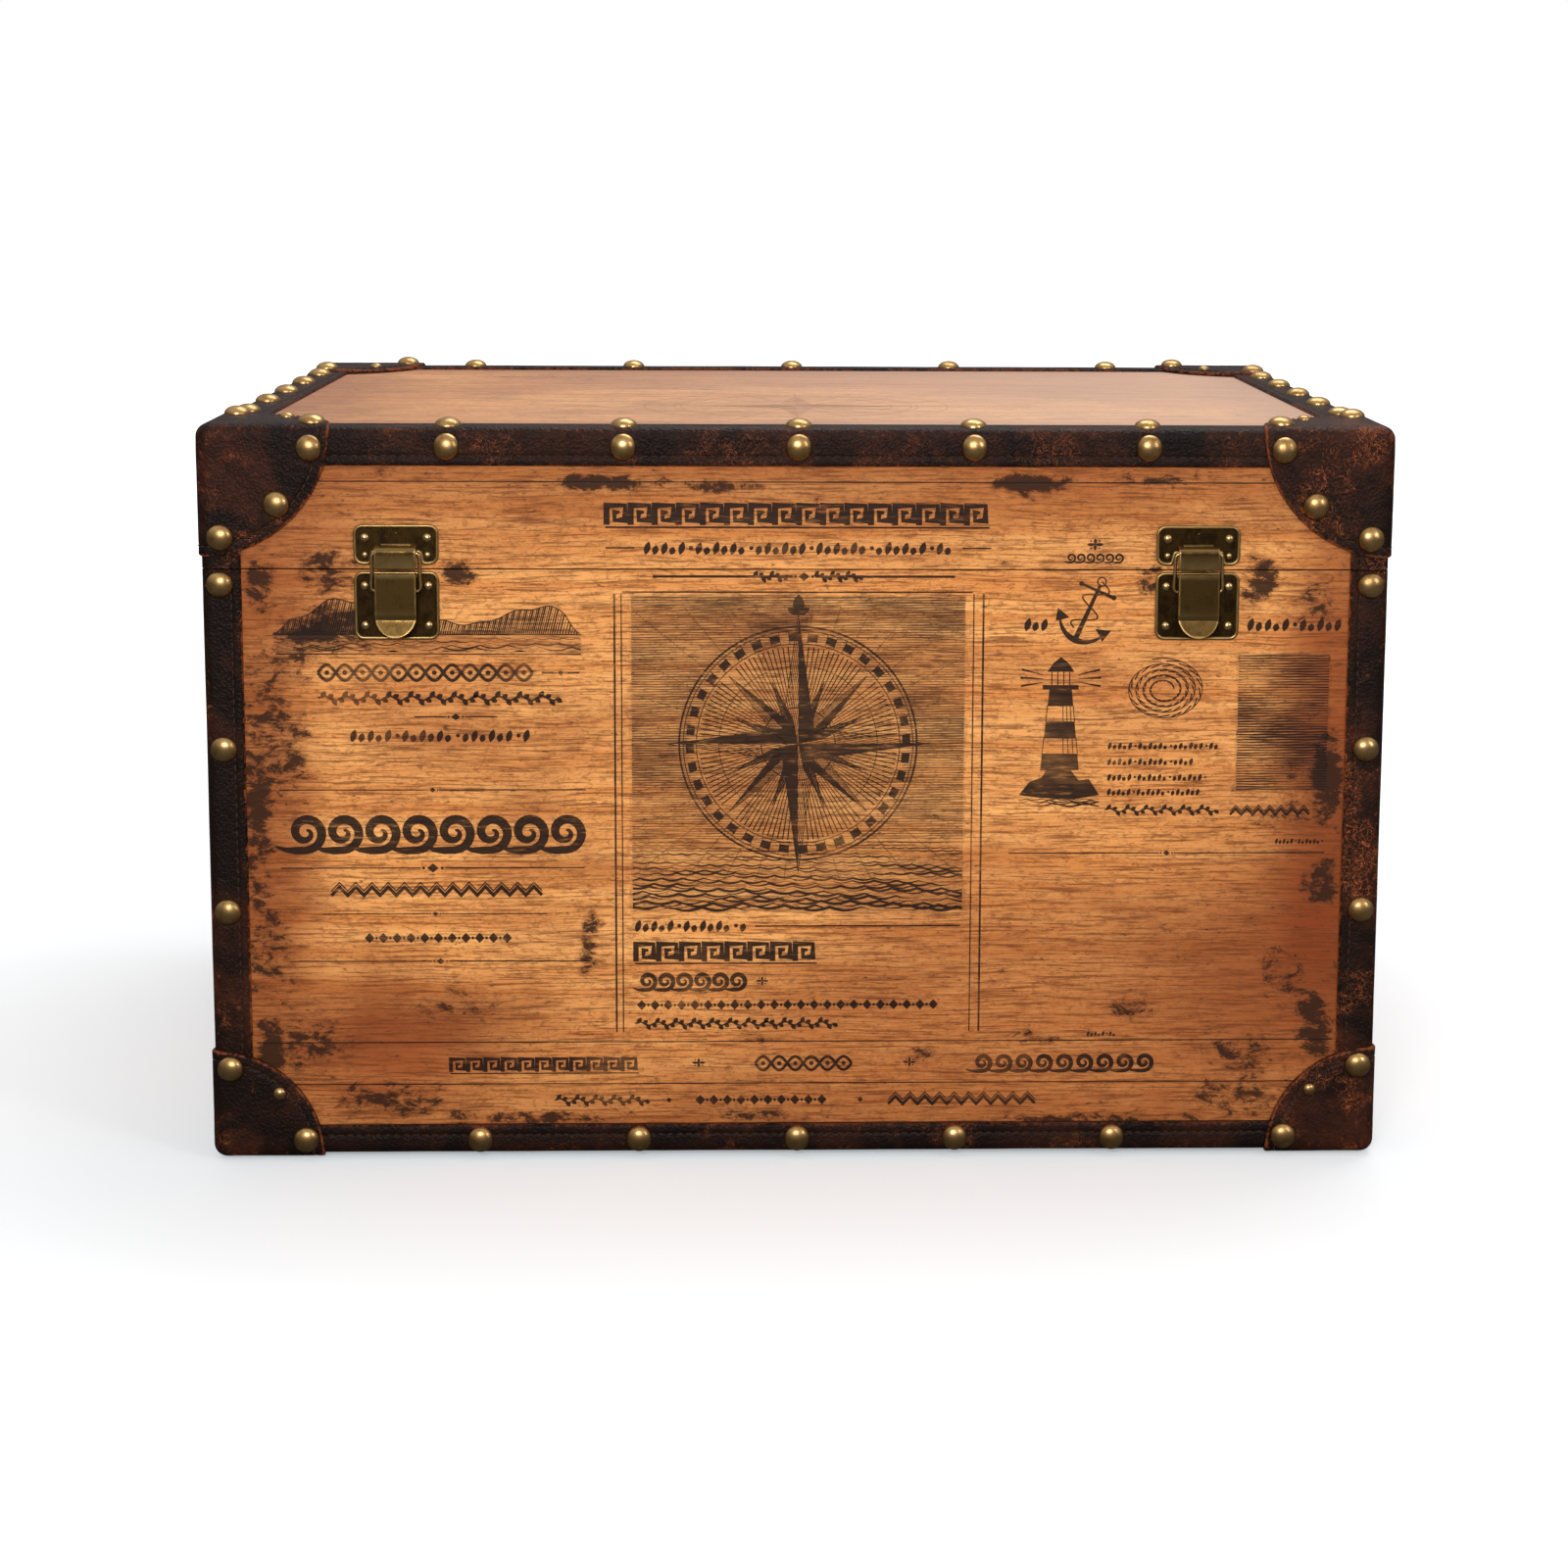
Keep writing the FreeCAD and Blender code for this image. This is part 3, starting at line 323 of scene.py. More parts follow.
def wood_group():
    """Grain is noise stretched along X; the face's edge darkening comes from the distance to its border."""
    inputs = {"Face": "Vector", "Half Length": "Float", "Middle": "Float", "Half Height": "Float"}
    inputs.update({"Stain Bias": "Float", "Painted Shade": "Float"})
    outputs = {"Color": "Color", "Roughness": "Float", "Height": "Float"}
    group, source, result = begin_group("stained_wood", inputs, outputs)
    bend = put(group, "TexNoise", {"Vector": source["Face"], "Scale": 9.0, "Detail": 3.0}).outputs["Fac"]
    lift = put(group, "CombineXYZ", {2: centred(group, bend, 0.006)}).outputs[0]
    face = put(group, "VectorMath", {0: source["Face"], 1: lift}, operation="ADD").outputs[0]
    fine = cloud(group, face, (30, 30, 760), 8.0, 0.72, 0.05)
    thread = cloud(group, face, (60, 60, 1700), 5.0, 0.7)
    fleck = cloud(group, face, (190, 190, 420), 7.0, 0.75, 0.6)
    streak = cloud(group, face, (4.5, 4.5, 95), 4.0, 0.55, 0.3)
    patchy = cloud(group, face, (9, 9, 15), 5.0, 0.6, 0.4)
    wide = cloud(group, face, (2.6, 2.6, 4.2), 2.0)
    parts = put(group, "SeparateXYZ", {0: face}).outputs
    to_end = calc(group, "SUBTRACT", source["Half Length"], calc(group, "ABSOLUTE", parts[0]))
    off_middle = calc(group, "ABSOLUTE", calc(group, "SUBTRACT", parts[2], source["Middle"]))
    to_side = calc(group, "SUBTRACT", source["Half Height"], off_middle)
    border = calc(group, "MINIMUM", to_end, to_side)
    edge = ramp(group, calc(group, "ADD", border, centred(group, patchy, 0.14)), 0.0, 0.062, 1.0, 0.0)
    color = tint(group, ramp(group, streak, 0.34, 0.66), honey, amber)
    color = tint(group, ramp(group, wide, 0.42, 0.66, 0.0, 0.7), color, chestnut)
    color = tint(group, ramp(group, patchy, 0.46, 0.72, 0.0, 0.6), color, hazel)
    color = tint(group, ramp(group, thread, 0.5, 0.66, 0.0, 0.3), color, straw)
    # Painted shade: the patch input darkens and reddens the wood where the face lies dim.
    color = tint(group, source["Painted Shade"], color, shade_red, "MULTIPLY")
    # Darker and redder towards the border: partly grime, partly painted shade beside the leather.
    color = tint(group, calc(group, "MULTIPLY", edge, 0.62), color, russet_grime_and_shade)
    color = tint(group, ramp(group, fleck, 0.48, 0.62, 0.0, 0.55), color, walnut)
    color = tint(group, ramp(group, fine, 0.48, 0.6, 0.0, 0.72), color, umber)
    blots = cloud(group, face, (70, 70, 120), 10.0, 0.78, 0.35)
    bias = calc(group, "ADD", source["Stain Bias"], calc(group, "MULTIPLY", edge, 0.055))
    level = calc(group, "ADD", calc(group, "ADD", blots, bias), centred(group, patchy, 0.22))
    color = tint(group, ramp(group, level, 0.56, 0.72, 0.0, 0.58), color, stain_rim)
    stain = ramp(group, level, 0.65, 0.735)
    color = tint(group, calc(group, "MULTIPLY", stain, 0.9), color, stain_heart)
    chip = cloud(group, face, (160, 160, 620), 3.0, 0.6)
    color = tint(group, ramp(group, chip, 0.65, 0.71, 0.0, 0.75), color, chip_brown)
    rough = calc(group, "ADD", calc(group, "MULTIPLY", streak, 0.22), 0.42)
    height = calc(group, "ADD", calc(group, "MULTIPLY", fine, 0.7), calc(group, "MULTIPLY", stain, -0.25))
    give(group, result, Color=color, Roughness=rough, Height=height)
    return group


stained_wood = wood_group()

# %% [markdown]
# Where damp has crept in along the front, soft elliptical patches raise the stains. Each is a
# falling-off distance from a centre. The places follow how the real trunk has aged: round both
# latches, under the top strip, down both sides and along the foot. A second list is painted shade:
# it darkens and reddens the wood down both ends of the front and low on the left.

# %% Stain patches and painted shade patches
def patch_group():
    """1 minus the distance from a centre, measured in radii along and across, and not under zero."""
    inputs = {"Face": "Vector", "Centre": "Vector", "Radii": "Vector"}
    group, source, result = begin_group("stain_and_shade_patch", inputs, {"Amount": "Float"})
    offset = put(group, "VectorMath", {0: source["Face"], 1: source["Centre"]}, operation="SUBTRACT")
    scaled = put(group, "VectorMath", {0: offset.outputs[0], 1: source["Radii"]}, operation="DIVIDE")
    distance = put(group, "VectorMath", {0: scaled.outputs[0]}, operation="LENGTH").outputs["Value"]
    group.links.new(ramp(group, distance, 0.15, 1.0, 1.0, 0.0), result["Amount"])
    return group


stain_and_shade_patch = patch_group()
latch_x = 222.5
front_patches = [
    (-latch_x - 36, 340, 34, 20, 1.15), (-latch_x + 34, 338, 20, 16, 1.3), (-latch_x - 30, 312, 40, 26, 0.75),
    (-290, 250, 34, 80, 0.8), (-262, 300, 45, 24, 0.8), (-296, 120, 24, 60, 0.7), (-275, 66, 40, 26, 0.95),
    (-112, 388, 46, 8, 1.15), (-45, 386, 34, 6, 0.8), (128, 388, 32, 10, 1.3), (200, 391, 46, 6, 0.7),
    (latch_x - 27, 334, 14, 22, 1.15), (latch_x + 34, 334, 18, 24, 1.35), (288, 322, 22, 24, 0.8),
    (-118, 128, 10, 34, 1.1), (192, 88, 26, 16, 0.9), (296, 76, 18, 34, 1.1), (136, 70, 26, 9, 1.0),
    (-232, 36, 60, 18, 0.95), (-20, 24, 40, 8, 1.0), (70, 60, 26, 8, 0.9), (250, 34, 60, 20, 0.8),
    (-20, 70, 30, 7, 0.7), (285, 230, 26, 60, 0.5), (-303, 185, 14, 60, 0.9), (262, 200, 60, 14, 0.4),
    (300, 222, 14, 38, 1.25), (297, 160, 16, 26, 1.15), (-298, 330, 12, 26, 1.2), (-300, 60, 12, 30, 1.1),
    (-150, 24, 90, 7, 0.9), (160, 22, 90, 7, 0.9), (0, 320, 60, 26, 0.45), (252, 62, 44, 26, 0.9),
    (276, 104, 28, 36, 0.8), (226, 128, 44, 34, 0.4), (-190, 92, 50, 20, 0.6), (-60, 210, 26, 40, 0.4),
]
# Painted shade: these patches darken and redden the front where it lies dim, down both ends and low on the
# left.
painted_shade_patches = [
    (262, 110, 120, 100, 0.55), (-285, 350, 70, 60, 0.45), (302, 230, 52, 190, 0.7),
    (-236, 66, 110, 66, 0.75), (-296, 190, 40, 150, 0.5), (-210, 270, 60, 60, 0.25),
]


def patch_sum(tree, face, patches):
    """Sum of soft patches, each given by centre and radii in millimetres and a weight."""
    total = 0.0
    for x, z, radius_x, radius_z, weight in patches:
        inputs = {"Face": face, "Centre": (x * MM, 0, z * MM), "Radii": (radius_x * MM, 1, radius_z * MM)}
        amount = use_group(tree, stain_and_shade_patch, inputs)["Amount"]
        total = calc(tree, "ADD", total, calc(tree, "MULTIPLY", amount, weight))
    return total


def face_vector(tree, along, across, deep):
    """Object coordinates in face order: X along the grain, Y into the board, Z across the grain."""
    parts = put(tree, "SeparateXYZ", {0: object_position(tree)}).outputs
    order = {0: parts[along], 1: parts[deep], 2: parts[across]}
    return put(tree, "CombineXYZ", order).outputs[0]


def wood_colors(tree, along, across, deep, half_length, middle, half_height, stains, shade_list):
    """Wood group set up for one face of the trunk; gives the face coordinates and its results."""
    face = face_vector(tree, along, across, deep)
    flat = put(tree, "VectorMath", {0: face, 1: (1.0, 0.0, 1.0)}, operation="MULTIPLY").outputs[0]
    bias = calc(tree, "MULTIPLY", patch_sum(tree, flat, stains), 0.185)
    # Painted shade patches, darker and redder where the front lies dim.
    shade_amount = patch_sum(tree, flat, shade_list)
    inputs = {"Face": face, "Half Length": half_length * MM, "Middle": middle * MM}
    inputs.update({"Half Height": half_height * MM, "Stain Bias": bias, "Painted Shade": shade_amount})
    return face, use_group(tree, stained_wood, inputs)


def board_face(kind):
    """Settings of a face: axes along, across and into it, its half length, middle and half height."""
    if kind == "front":
        return (0, 2, 1, 314.0, 198.0, 200.0, front_patches, painted_shade_patches)
    if kind == "end":
        return (1, 2, 0, 206.0, 208.0, 190.0, [(-150, 300, 60, 40, 0.7), (120, 60, 80, 40, 0.8)], [])
    return (0, 1, 2, 303.0, 0.0, 206.0, [(-150, 150, 120, 40, 0.5), (220, -120, 90, 40, 0.4)], [])


def painted_top_sheen(tree, kind, color):
    """The top is paled towards white, more so towards its right end: a painted sheen; other faces keep their
    colour.
    """
    if kind != "top":
        return color
    x = put(tree, "SeparateXYZ", {0: object_position(tree)}).outputs[0]
    return tint(tree, ramp(tree, x, -0.3, 0.28, 0.16, 0.46), color, sheen_white)


def wood_material(name, kind):
    """Board material for one kind of face."""
    material, tree, shader = new_material(name)
    colors = wood_colors(tree, *board_face(kind))[1]
    # Painted sheen on the top, paler towards its right end.
    color = painted_top_sheen(tree, kind, colors["Color"])
    surface(tree, shader, color, colors["Roughness"], colors["Height"], 0.00026, 0.12)
    return material


wood_front = wood_material("wood_front", "front")
wood_end = wood_material("wood_end", "end")
wood_top = wood_material("wood_top", "top")

# %% [markdown]
# Printing ink on old boards is not a flat black: it has sunk into the grain and worn off the high
# spots. The ink material mixes the same wood with a brown-black ink by a mask of stretched noise,
# so that the print lies in the wood and not on it.

# %% Ink
def ink_material(name, kind, strength):
    """Wood of that face with ink over it; strength is the share of ink that is left."""
    material, tree, shader = new_material(name)
    face, colors = wood_colors(tree, *board_face(kind))
    worn = cloud(tree, face, (55, 55, 420), 5.0, 0.65)
    rubbed = cloud(tree, face, (14, 14, 22), 3.0, 0.6)
    in_grain = ramp(tree, worn, 0.3, 0.46, 0.7, 1.0)
    in_patches = ramp(tree, rubbed, 0.3, 0.5, 0.8, 1.0)
    mask = calc(tree, "MULTIPLY", calc(tree, "MULTIPLY", in_grain, in_patches), strength)
    # Under the ink the top keeps the same painted sheen.
    color = tint(tree, mask, painted_top_sheen(tree, kind, colors["Color"]), ink_brown)
    surface(tree, shader, color, colors["Roughness"], colors["Height"], 0.00018, 0.15)
    return material


ink_dark = ink_material("ink_dark", "front", 0.96)
ink_pale = ink_material("ink_pale", "front", 0.78)
ink_wash = ink_material("ink_wash", "front", 0.2)
ink_top = ink_material("ink_top", "top", 0.24)

# %% [markdown]
# The leather is dark espresso with a fine pebbled grain. It is rubbed back to orange-brown on
# folds and rims, and in worn zones a hair-fine crackle shows the same colour: contour lines of two
# noises make it. The distance to the nearest fold is worked out from the position: of the three
# distances to the trunk's outer planes, the second smallest is small only beside an edge of the box.

# %% Leather group
espresso = srgb(25, 13, 7)
cocoa = srgb(66, 31, 16)
crease_brown = srgb(20, 12, 9)
crackle_tan = srgb(172, 90, 44)
rubbed_tan = srgb(146, 72, 36)
darkening_black = srgb(16, 10, 9)


def leather_group():
    """Pebble grain from cell distances, and a rubbed mask from fold distance, rims and patchy noise."""
    inputs = {"Position": "Vector", "Rim": "Float"}
    outputs = {"Color": "Color", "Roughness": "Float", "Height": "Float"}
    group, source, result = begin_group("aged_leather", inputs, outputs)
    position = source["Position"]
    parts = put(group, "SeparateXYZ", {0: position}).outputs
    to_x = calc(group, "SUBTRACT", (half_x + pad_height) * MM, calc(group, "ABSOLUTE", parts[0]))
    to_y = calc(group, "SUBTRACT", (half_y + pad_height) * MM, calc(group, "ABSOLUTE", parts[1]))
    middle_z = (skin_low + skin_top) / 2 * MM
    half_z = (lid_top + pad_height) * MM - middle_z
    to_z = calc(group, "ABSOLUTE", calc(group, "SUBTRACT", parts[2], middle_z))
    to_z = calc(group, "SUBTRACT", half_z, to_z)
    larger = calc(group, "MAXIMUM", to_x, to_y)
    second = calc(group, "MAXIMUM", calc(group, "MINIMUM", to_x, to_y), calc(group, "MINIMUM", larger, to_z))
    fold = ramp(group, second, 0.0015, 0.011, 1.0, 0.0)
    pebbles = put(group, "TexVoronoi", {"Vector": position, "Scale": 620.0}, feature="F1").outputs["Distance"]
    creases = cloud(group, position, 240, 5.0, 0.6, 0.6)
    patches = cloud(group, position, 17, 4.0, 0.6, 0.5)
    scratch = cloud(group, position, (170, 170, 120), 8.0, 0.75, 1.2)
    color = tint(group, ramp(group, patches, 0.38, 0.66), espresso, cocoa)
    color = tint(group, ramp(group, creases, 0.42, 0.7, 0.0, 0.5), color, crease_brown)
    curls = cloud(group, position, 150, 2.0, 0.5, 1.6)
    hairs = cloud(group, position, 330, 2.0, 0.5, 1.0)
    cracks = calc(group, "ABSOLUTE", calc(group, "SUBTRACT", curls, 0.5))
    cracks = calc(group, "MINIMUM", cracks, calc(group, "ABSOLUTE", calc(group, "SUBTRACT", hairs, 0.52)))
    worn_zone = ramp(group, cloud(group, position, 24, 5.0, 0.68), 0.52, 0.66)
    crackle = calc(group, "MULTIPLY", ramp(group, cracks, 0.004, 0.02, 1.0, 0.0), worn_zone)
    color = tint(group, calc(group, "MULTIPLY", crackle, 0.8), color, crackle_tan)
    level = calc(group, "ADD", scratch, calc(group, "MULTIPLY", fold, 0.11))
    level = calc(group, "ADD", level, calc(group, "MULTIPLY", source["Rim"], 0.22))
    level = calc(group, "ADD", level, centred(group, patches, 0.3))
    color = tint(group, ramp(group, level, 0.64, 0.78, 0.0, 0.8), color, rubbed_tan)
    rough = calc(group, "ADD", calc(group, "MULTIPLY", creases, 0.3), 0.3)
    height = calc(group, "ADD", calc(group, "MULTIPLY", pebbles, 0.8), calc(group, "MULTIPLY", creases, 1.3))
    give(group, result, Color=color, Roughness=rough, Height=height)
    return group


aged_leather = leather_group()


def leather_material(name, darken):
    """Leather for strips and pads; darken is how far its colour goes to black."""
    material, tree, shader = new_material(name)
    look = use_group(tree, aged_leather, {"Position": object_position(tree), "Rim": rubbed_and_highlight_amount(tree)})
    color = tint(tree, darken, look["Color"], darkening_black)
    surface(tree, shader, color, look["Roughness"], look["Height"], 0.0005, 0.11)
    return material


edge_leather = leather_material("edge_leather", 0.55)
upright_leather = leather_material("upright_leather", 0.08)
pad_leather = leather_material("pad_leather", 0.24)

# %% [markdown]
# The seams are sewn with waxed linen thread. At this size its twist is only a change of tone along
# the stitch, so a fine noise for colour and bump is enough and no strand is modelled.

# %% Thread
def thread_material():
    """Waxed black-brown thread with a fine twist across each stitch."""
    material, tree, shader = new_material("waxed_thread")
    twist = cloud(tree, object_position(tree), 1400, 2.0)
    color = tint(tree, ramp(tree, twist, 0.35, 0.65), srgb(24, 16, 12), srgb(64, 44, 32))
    surface(tree, shader, color, 0.6, twist, 0.0001, 0.15)
    return material


waxed_thread = thread_material()

# %% [markdown]
# The hardware is brass with an artificial age: bright where hands and cloths rub, brown-olive in
# the hollows. On the latches the bright places also carry a painted highlight. The patina group
# mixes two brasses by soft noise and gives the dull places more roughness. Nails and rims are the
# brightest, the latch plates the darkest, and the hinges, handles and stays lie between.

# %% Brass
def patina_group():
    """Bright brass mixed with dark brass by noise of two sizes; dull where it is dark."""
    inputs = {"Position": "Vector", "Bright": "Color", "Dark": "Color", "Age": "Float"}
    outputs = {"Color": "Color", "Roughness": "Float", "Height": "Float"}
    group, source, result = begin_group("brass_patina", inputs, outputs)
    position = source["Position"]
    broad = cloud(group, position, 160, 4.0, 0.6)
    fine = cloud(group, position, (900, 900, 300), 3.0, 0.6)
    mixed = calc(group, "ADD", calc(group, "MULTIPLY", broad, 0.7), calc(group, "MULTIPLY", fine, 0.3))
    dull = ramp(group, calc(group, "ADD", mixed, source["Age"]), 0.34, 0.68)
    rough = calc(group, "ADD", calc(group, "MULTIPLY", dull, 0.14), 0.28)
    color = tint(group, dull, source["Bright"], source["Dark"])
    give(group, result, Color=color, Roughness=rough, Height=fine)
    return group


brass_patina = patina_group()
rubbed_and_highlight_brass = srgb(190, 156, 98)


def brass_material(name, bright, dark, age, depth):
    """Antiqued brass; age moves the balance towards the dark colour."""
    material, tree, shader = new_material(name)
    inputs = {"Position": object_position(tree), "Bright": srgb(*bright), "Dark": srgb(*dark), "Age": age}
    look = use_group(tree, brass_patina, inputs)
    # Rubbed wear, and on the latches also a painted highlight on rims, folds and the lever's bend.
    rubbed = calc(tree, "MULTIPLY", rubbed_and_highlight_amount(tree), 0.75)
    color = tint(tree, rubbed, look["Color"], rubbed_and_highlight_brass)
    surface(tree, shader, color, look["Roughness"], look["Height"], depth)
    fill(tree, shader, {"Metallic": 1.0})
    return material


nail_brass = brass_material("nail_brass", (200, 160, 104), (140, 103, 60), -0.03, 0.00001)
latch_brass = brass_material("latch_brass", (96, 71, 38), (46, 33, 17), 0.06, 0.00002)
lever_brass = brass_material("lever_brass", (118, 90, 48), (74, 55, 29), 0.0, 0.00002)
rim_brass = brass_material("rim_brass", (204, 170, 116), (150, 118, 74), -0.12, 0.00002)
dull_brass = brass_material("dull_brass", (140, 114, 74), (84, 66, 44), 0.08, 0.00005)

# %% [markdown]
# Inside, old lining paper has gone cream with brown spots, and battens and glue blocks are bare
# pine. Both are plain mixes of noise, since they are seen only with the lid open.

# %% Lining and bare wood
def paper_material():
    """Aged lining paper: warm cream with a faint laid texture and foxing spots."""
    material, tree, shader = new_material("lining_paper")
    position = object_position(tree)
    mottle = cloud(tree, position, 14, 5.0, 0.6)
    spots = cloud(tree, position, 110, 4.0, 0.6)
    fibre = cloud(tree, position, 900, 2.0)
    color = tint(tree, ramp(tree, mottle, 0.35, 0.7), srgb(206, 182, 140), srgb(176, 146, 102))
    color = tint(tree, ramp(tree, spots, 0.66, 0.76, 0.0, 0.5), color, srgb(132, 94, 56))
    surface(tree, shader, color, 0.85, fibre, 0.00008)
    return material


def batten_material():
    """Bare pine with straight grain along X and Y alike."""
    material, tree, shader = new_material("bare_pine")
    position = object_position(tree)
    grain = cloud(tree, position, (12, 12, 420), 4.0, 0.6)
    color = tint(tree, ramp(tree, grain, 0.35, 0.68), srgb(204, 164, 112), srgb(160, 112, 64))
    surface(tree, shader, color, 0.6, grain, 0.00008)
    return material


lining_paper = paper_material()
bare_pine = batten_material()

# %% [markdown]
# The boards, lining and battens of the frame have the right shape already, so they stay and only
# get their finish.

# %% Dress the frame's own pieces
def dress(material, *names):
    """Gives frame pieces this material in place of the plain one."""
    for name in names:
        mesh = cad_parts[name].data
        mesh.materials.clear()
        mesh.materials.append(material)


dress(wood_front, "body_front_board", "body_back_board", "lid_front_board", "lid_back_board")
dress(wood_end, "body_left_board", "body_right_board", "lid_left_board", "lid_right_board")
dress(wood_top, "lid_top_board", "body_bottom_board")
dress(lining_paper, "body_lining", "lid_lining")
dress(bare_pine, "body_corner_blocks", "lid_locating_lip")
print("frame pieces dressed")

# %% [markdown]
# ## Leather along the edges
# On the real trunk a strip is skived, wetted and folded over the edge, then stitched along both
# sides. Its section is a path: up the wall, round the fold, along the other face. The outer line
# stands 2 mm off that path, falls in a quarter round at both free edges and dips a little where
# the thread pulls it in. The section is carried along the edge, slightly uneven as hand work is.

# %% Folded strips
def fold_path(s, wall_leg, radius):
    """Point and outward direction at length s along wall, quarter circle and flange."""
    straight = wall_leg - radius
    turn = np.clip((s - straight) / radius, 0, math.pi / 2)
    before = np.minimum(s - straight, 0)
    after = np.maximum(s - straight - radius * math.pi / 2, 0)
    inward = radius - radius * np.cos(turn) + after
    down = radius - radius * np.sin(turn) - before
    return np.stack([inward, down], -1), np.stack([-np.cos(turn), -np.sin(turn)], -1)


def edge_rise(distance, thick):
    """Leather height at a distance from its free edge: quarter round, soft roll, dip at the thread."""
    rise = thick * np.sqrt(np.clip(1 - (1 - np.clip(distance / 1.2, 0, 1)) ** 2, 0, 1))
    roll = 0.22 * bell(distance - 2.8, 1.5)
    dip = 0.5 * bell(distance - stitch_inset, 0.75)
    return rise + (roll - dip) * step(0.5, 1.5, distance)


def folded_strip(legs, radius, length, phase, to_space):
    """Closed strip: the section above carried along; to_space turns (t, inward, down) into x, y, z."""
    wall_leg, flange_leg = legs
    total = wall_leg + flange_leg - 2 * radius + radius * math.pi / 2
    near = np.array([0.0, 0.08, 0.3, 0.65, 1.2, 2.0, 2.9, 3.9, 4.7, 5.2, 5.6, 6.0, 6.5, 7.4])
    centre = np.linspace(wall_leg - radius - 1, wall_leg - radius + radius * math.pi / 2 + 1, 11)
    spread = np.linspace(9, total - 9, 7)
    s = np.unique(np.concatenate([near, total - near, centre, spread]).round(3))
    base, outward = fold_path(s, wall_leg, radius)
    t = np.linspace(length[0], length[1], max(8, int(abs(length[1] - length[0]) / 5)))
    from_edge = np.minimum(s, total - s)
    rise = edge_rise(from_edge, strip)[None, :] - strip
    uneven = 0.1 * ripple(t, phase)[:, None] * step(1.0, 6.0, from_edge)[None, :]
    height = rise + uneven
    outer = base[None] + outward[None] * height[..., None]
    lower = s[-2:0:-3]
    inner_base, inner_outward = fold_path(lower, wall_leg, radius)
    inner = np.broadcast_to(inner_base - inner_outward * strip, (len(t), len(lower), 2))
    ring = np.concatenate([outer, inner], 1)
    along = np.broadcast_to(t[:, None], ring.shape[:2])
    points = np.stack(to_space(along, ring[..., 0], ring[..., 1]), -1)
    weight = np.concatenate([bell(from_edge, 1.1), np.zeros(len(lower))])
    return loft(points), np.tile(weight, len(t))


def run_strips(level, fold_sign, legs_by_side, reach_in):
    """Four strips round the box at one level: fold_sign is -1 where the leather goes down the wall."""
    made = {}
    for side, sign, phase in (("front", -1, 0.4), ("back", 1, 1.9), ("left", -1, 3.1), ("right", 1, 4.4)):
        if side in ("front", "back"):
            length = (-skin_x + reach_in, skin_x - reach_in)
            turn = lambda t, p, q, sign=sign: (t, sign * (skin_y - p), level + fold_sign * q)
        else:
            length = (-skin_y + reach_in, skin_y - reach_in)
            turn = lambda t, p, q, sign=sign: (sign * (skin_x - p), t, level + fold_sign * q)
        made[side] = folded_strip(legs_by_side[side], edge_round + strip, length, phase, turn)
    return made


def corner_strips(z_low, z_high):
    """Four upright strips folded round the corners."""
    shapes = []
    weights = []
    for sx in (-1, 1):
        for sy in (-1, 1):
            turn = lambda t, p, q, sx=sx, sy=sy: (sx * (skin_x - p), sy * (skin_y - q), t)
            legs = (upright, upright)
            shape, weight = folded_strip(legs, edge_round + strip, (z_low, z_high), sx + 2 * sy, turn)
            shapes.append(shape)
            weights.append(weight)
    return shapes, np.concatenate(weights)


lid_legs = {side: (lid_drop, front_flange if side in ("front", "back") else side_flange)
            for side in ("front", "back", "left", "right")}
foot_legs = {side: (foot_rise, foot_flange) for side in lid_legs}
end_gap = 3.0
for (part, body, level, fold_sign), legs in zip(halves, (lid_legs, foot_legs)):
    for side, (shape, weight) in run_strips(level, fold_sign, legs, end_gap).items():
        name = part + "_" + side + "_strip"
        piece = make_piece(name, [shape], edge_leather, body, worn=weight)
        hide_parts(part + "_" + side + "_trim")
upright_ends = ((lid_rim, skin_top - 12), (skin_low + 8, rim))
for (part, body, level, fold_sign), (z_low, z_high) in zip(halves, upright_ends):
    shapes, weight = corner_strips(z_low, z_high)
    piece = make_piece(part + "_corner_strips", shapes, upright_leather, body, worn=weight)
    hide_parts(part + "_upright_trims")

# %% [markdown]
# ## Corner pads
# A pad is one piece of wet leather pressed over three faces. The surface is worked out in polar
# form round the corner: a radius from the corner and an angle that runs over top, end and front.
# Each flat point is then pulled onto the rounded box: clamp it to the box shrunk by the edge
# radius, and step back out along the line to the flat point by the edge radius and the height.

# %% Pads over the corners
rim_round = 1.3
underside = 0.05


def on_corner(flat, height):
    """Rounded position of a flat corner point (inward distances a, b, c), at a height above the wood."""
    radius = edge_round + strip
    core = np.maximum(flat, radius)
    return core + unit(flat - core) * (edge_round + np.asarray(height)[..., None])


def corner_polar(rho, phi):
    """Flat corner point for a radius and an angle of 0 to 270 degrees over the three faces."""
    quarter = np.clip(np.floor(phi / 90 + 1e-9), 0, 2).astype(int)
    angle = np.radians(phi - 90 * quarter)
    first = rho * np.cos(angle)
    second = rho * np.sin(angle)
    flat = np.zeros(first.shape + (3,))
    for k in range(3):
        chosen = quarter == k
        flat[chosen, k] = first[chosen]
        flat[chosen, (k + 1) % 3] = second[chosen]
    return flat


def beside_strip(flat, drop, flange_y, flange_x):
    """1 where a strip lies under the pad, falling to 0 within 8 mm beside it."""
    a, b, c = np.moveaxis(flat, -1, 0)

    def over(width, distance):
        """1 over a strip of that width."""
        return 1 - step(width, width + 8, distance)

    on_front = (b < 0.01) * np.maximum(over(drop, c), over(upright, a))
    on_end = (a < 0.01) * np.maximum(over(drop, c), over(upright, b))
    on_top = (c < 0.01) * np.maximum(over(flange_y, b), over(flange_x, a))
    return np.maximum(np.maximum(on_front, on_end), on_top)


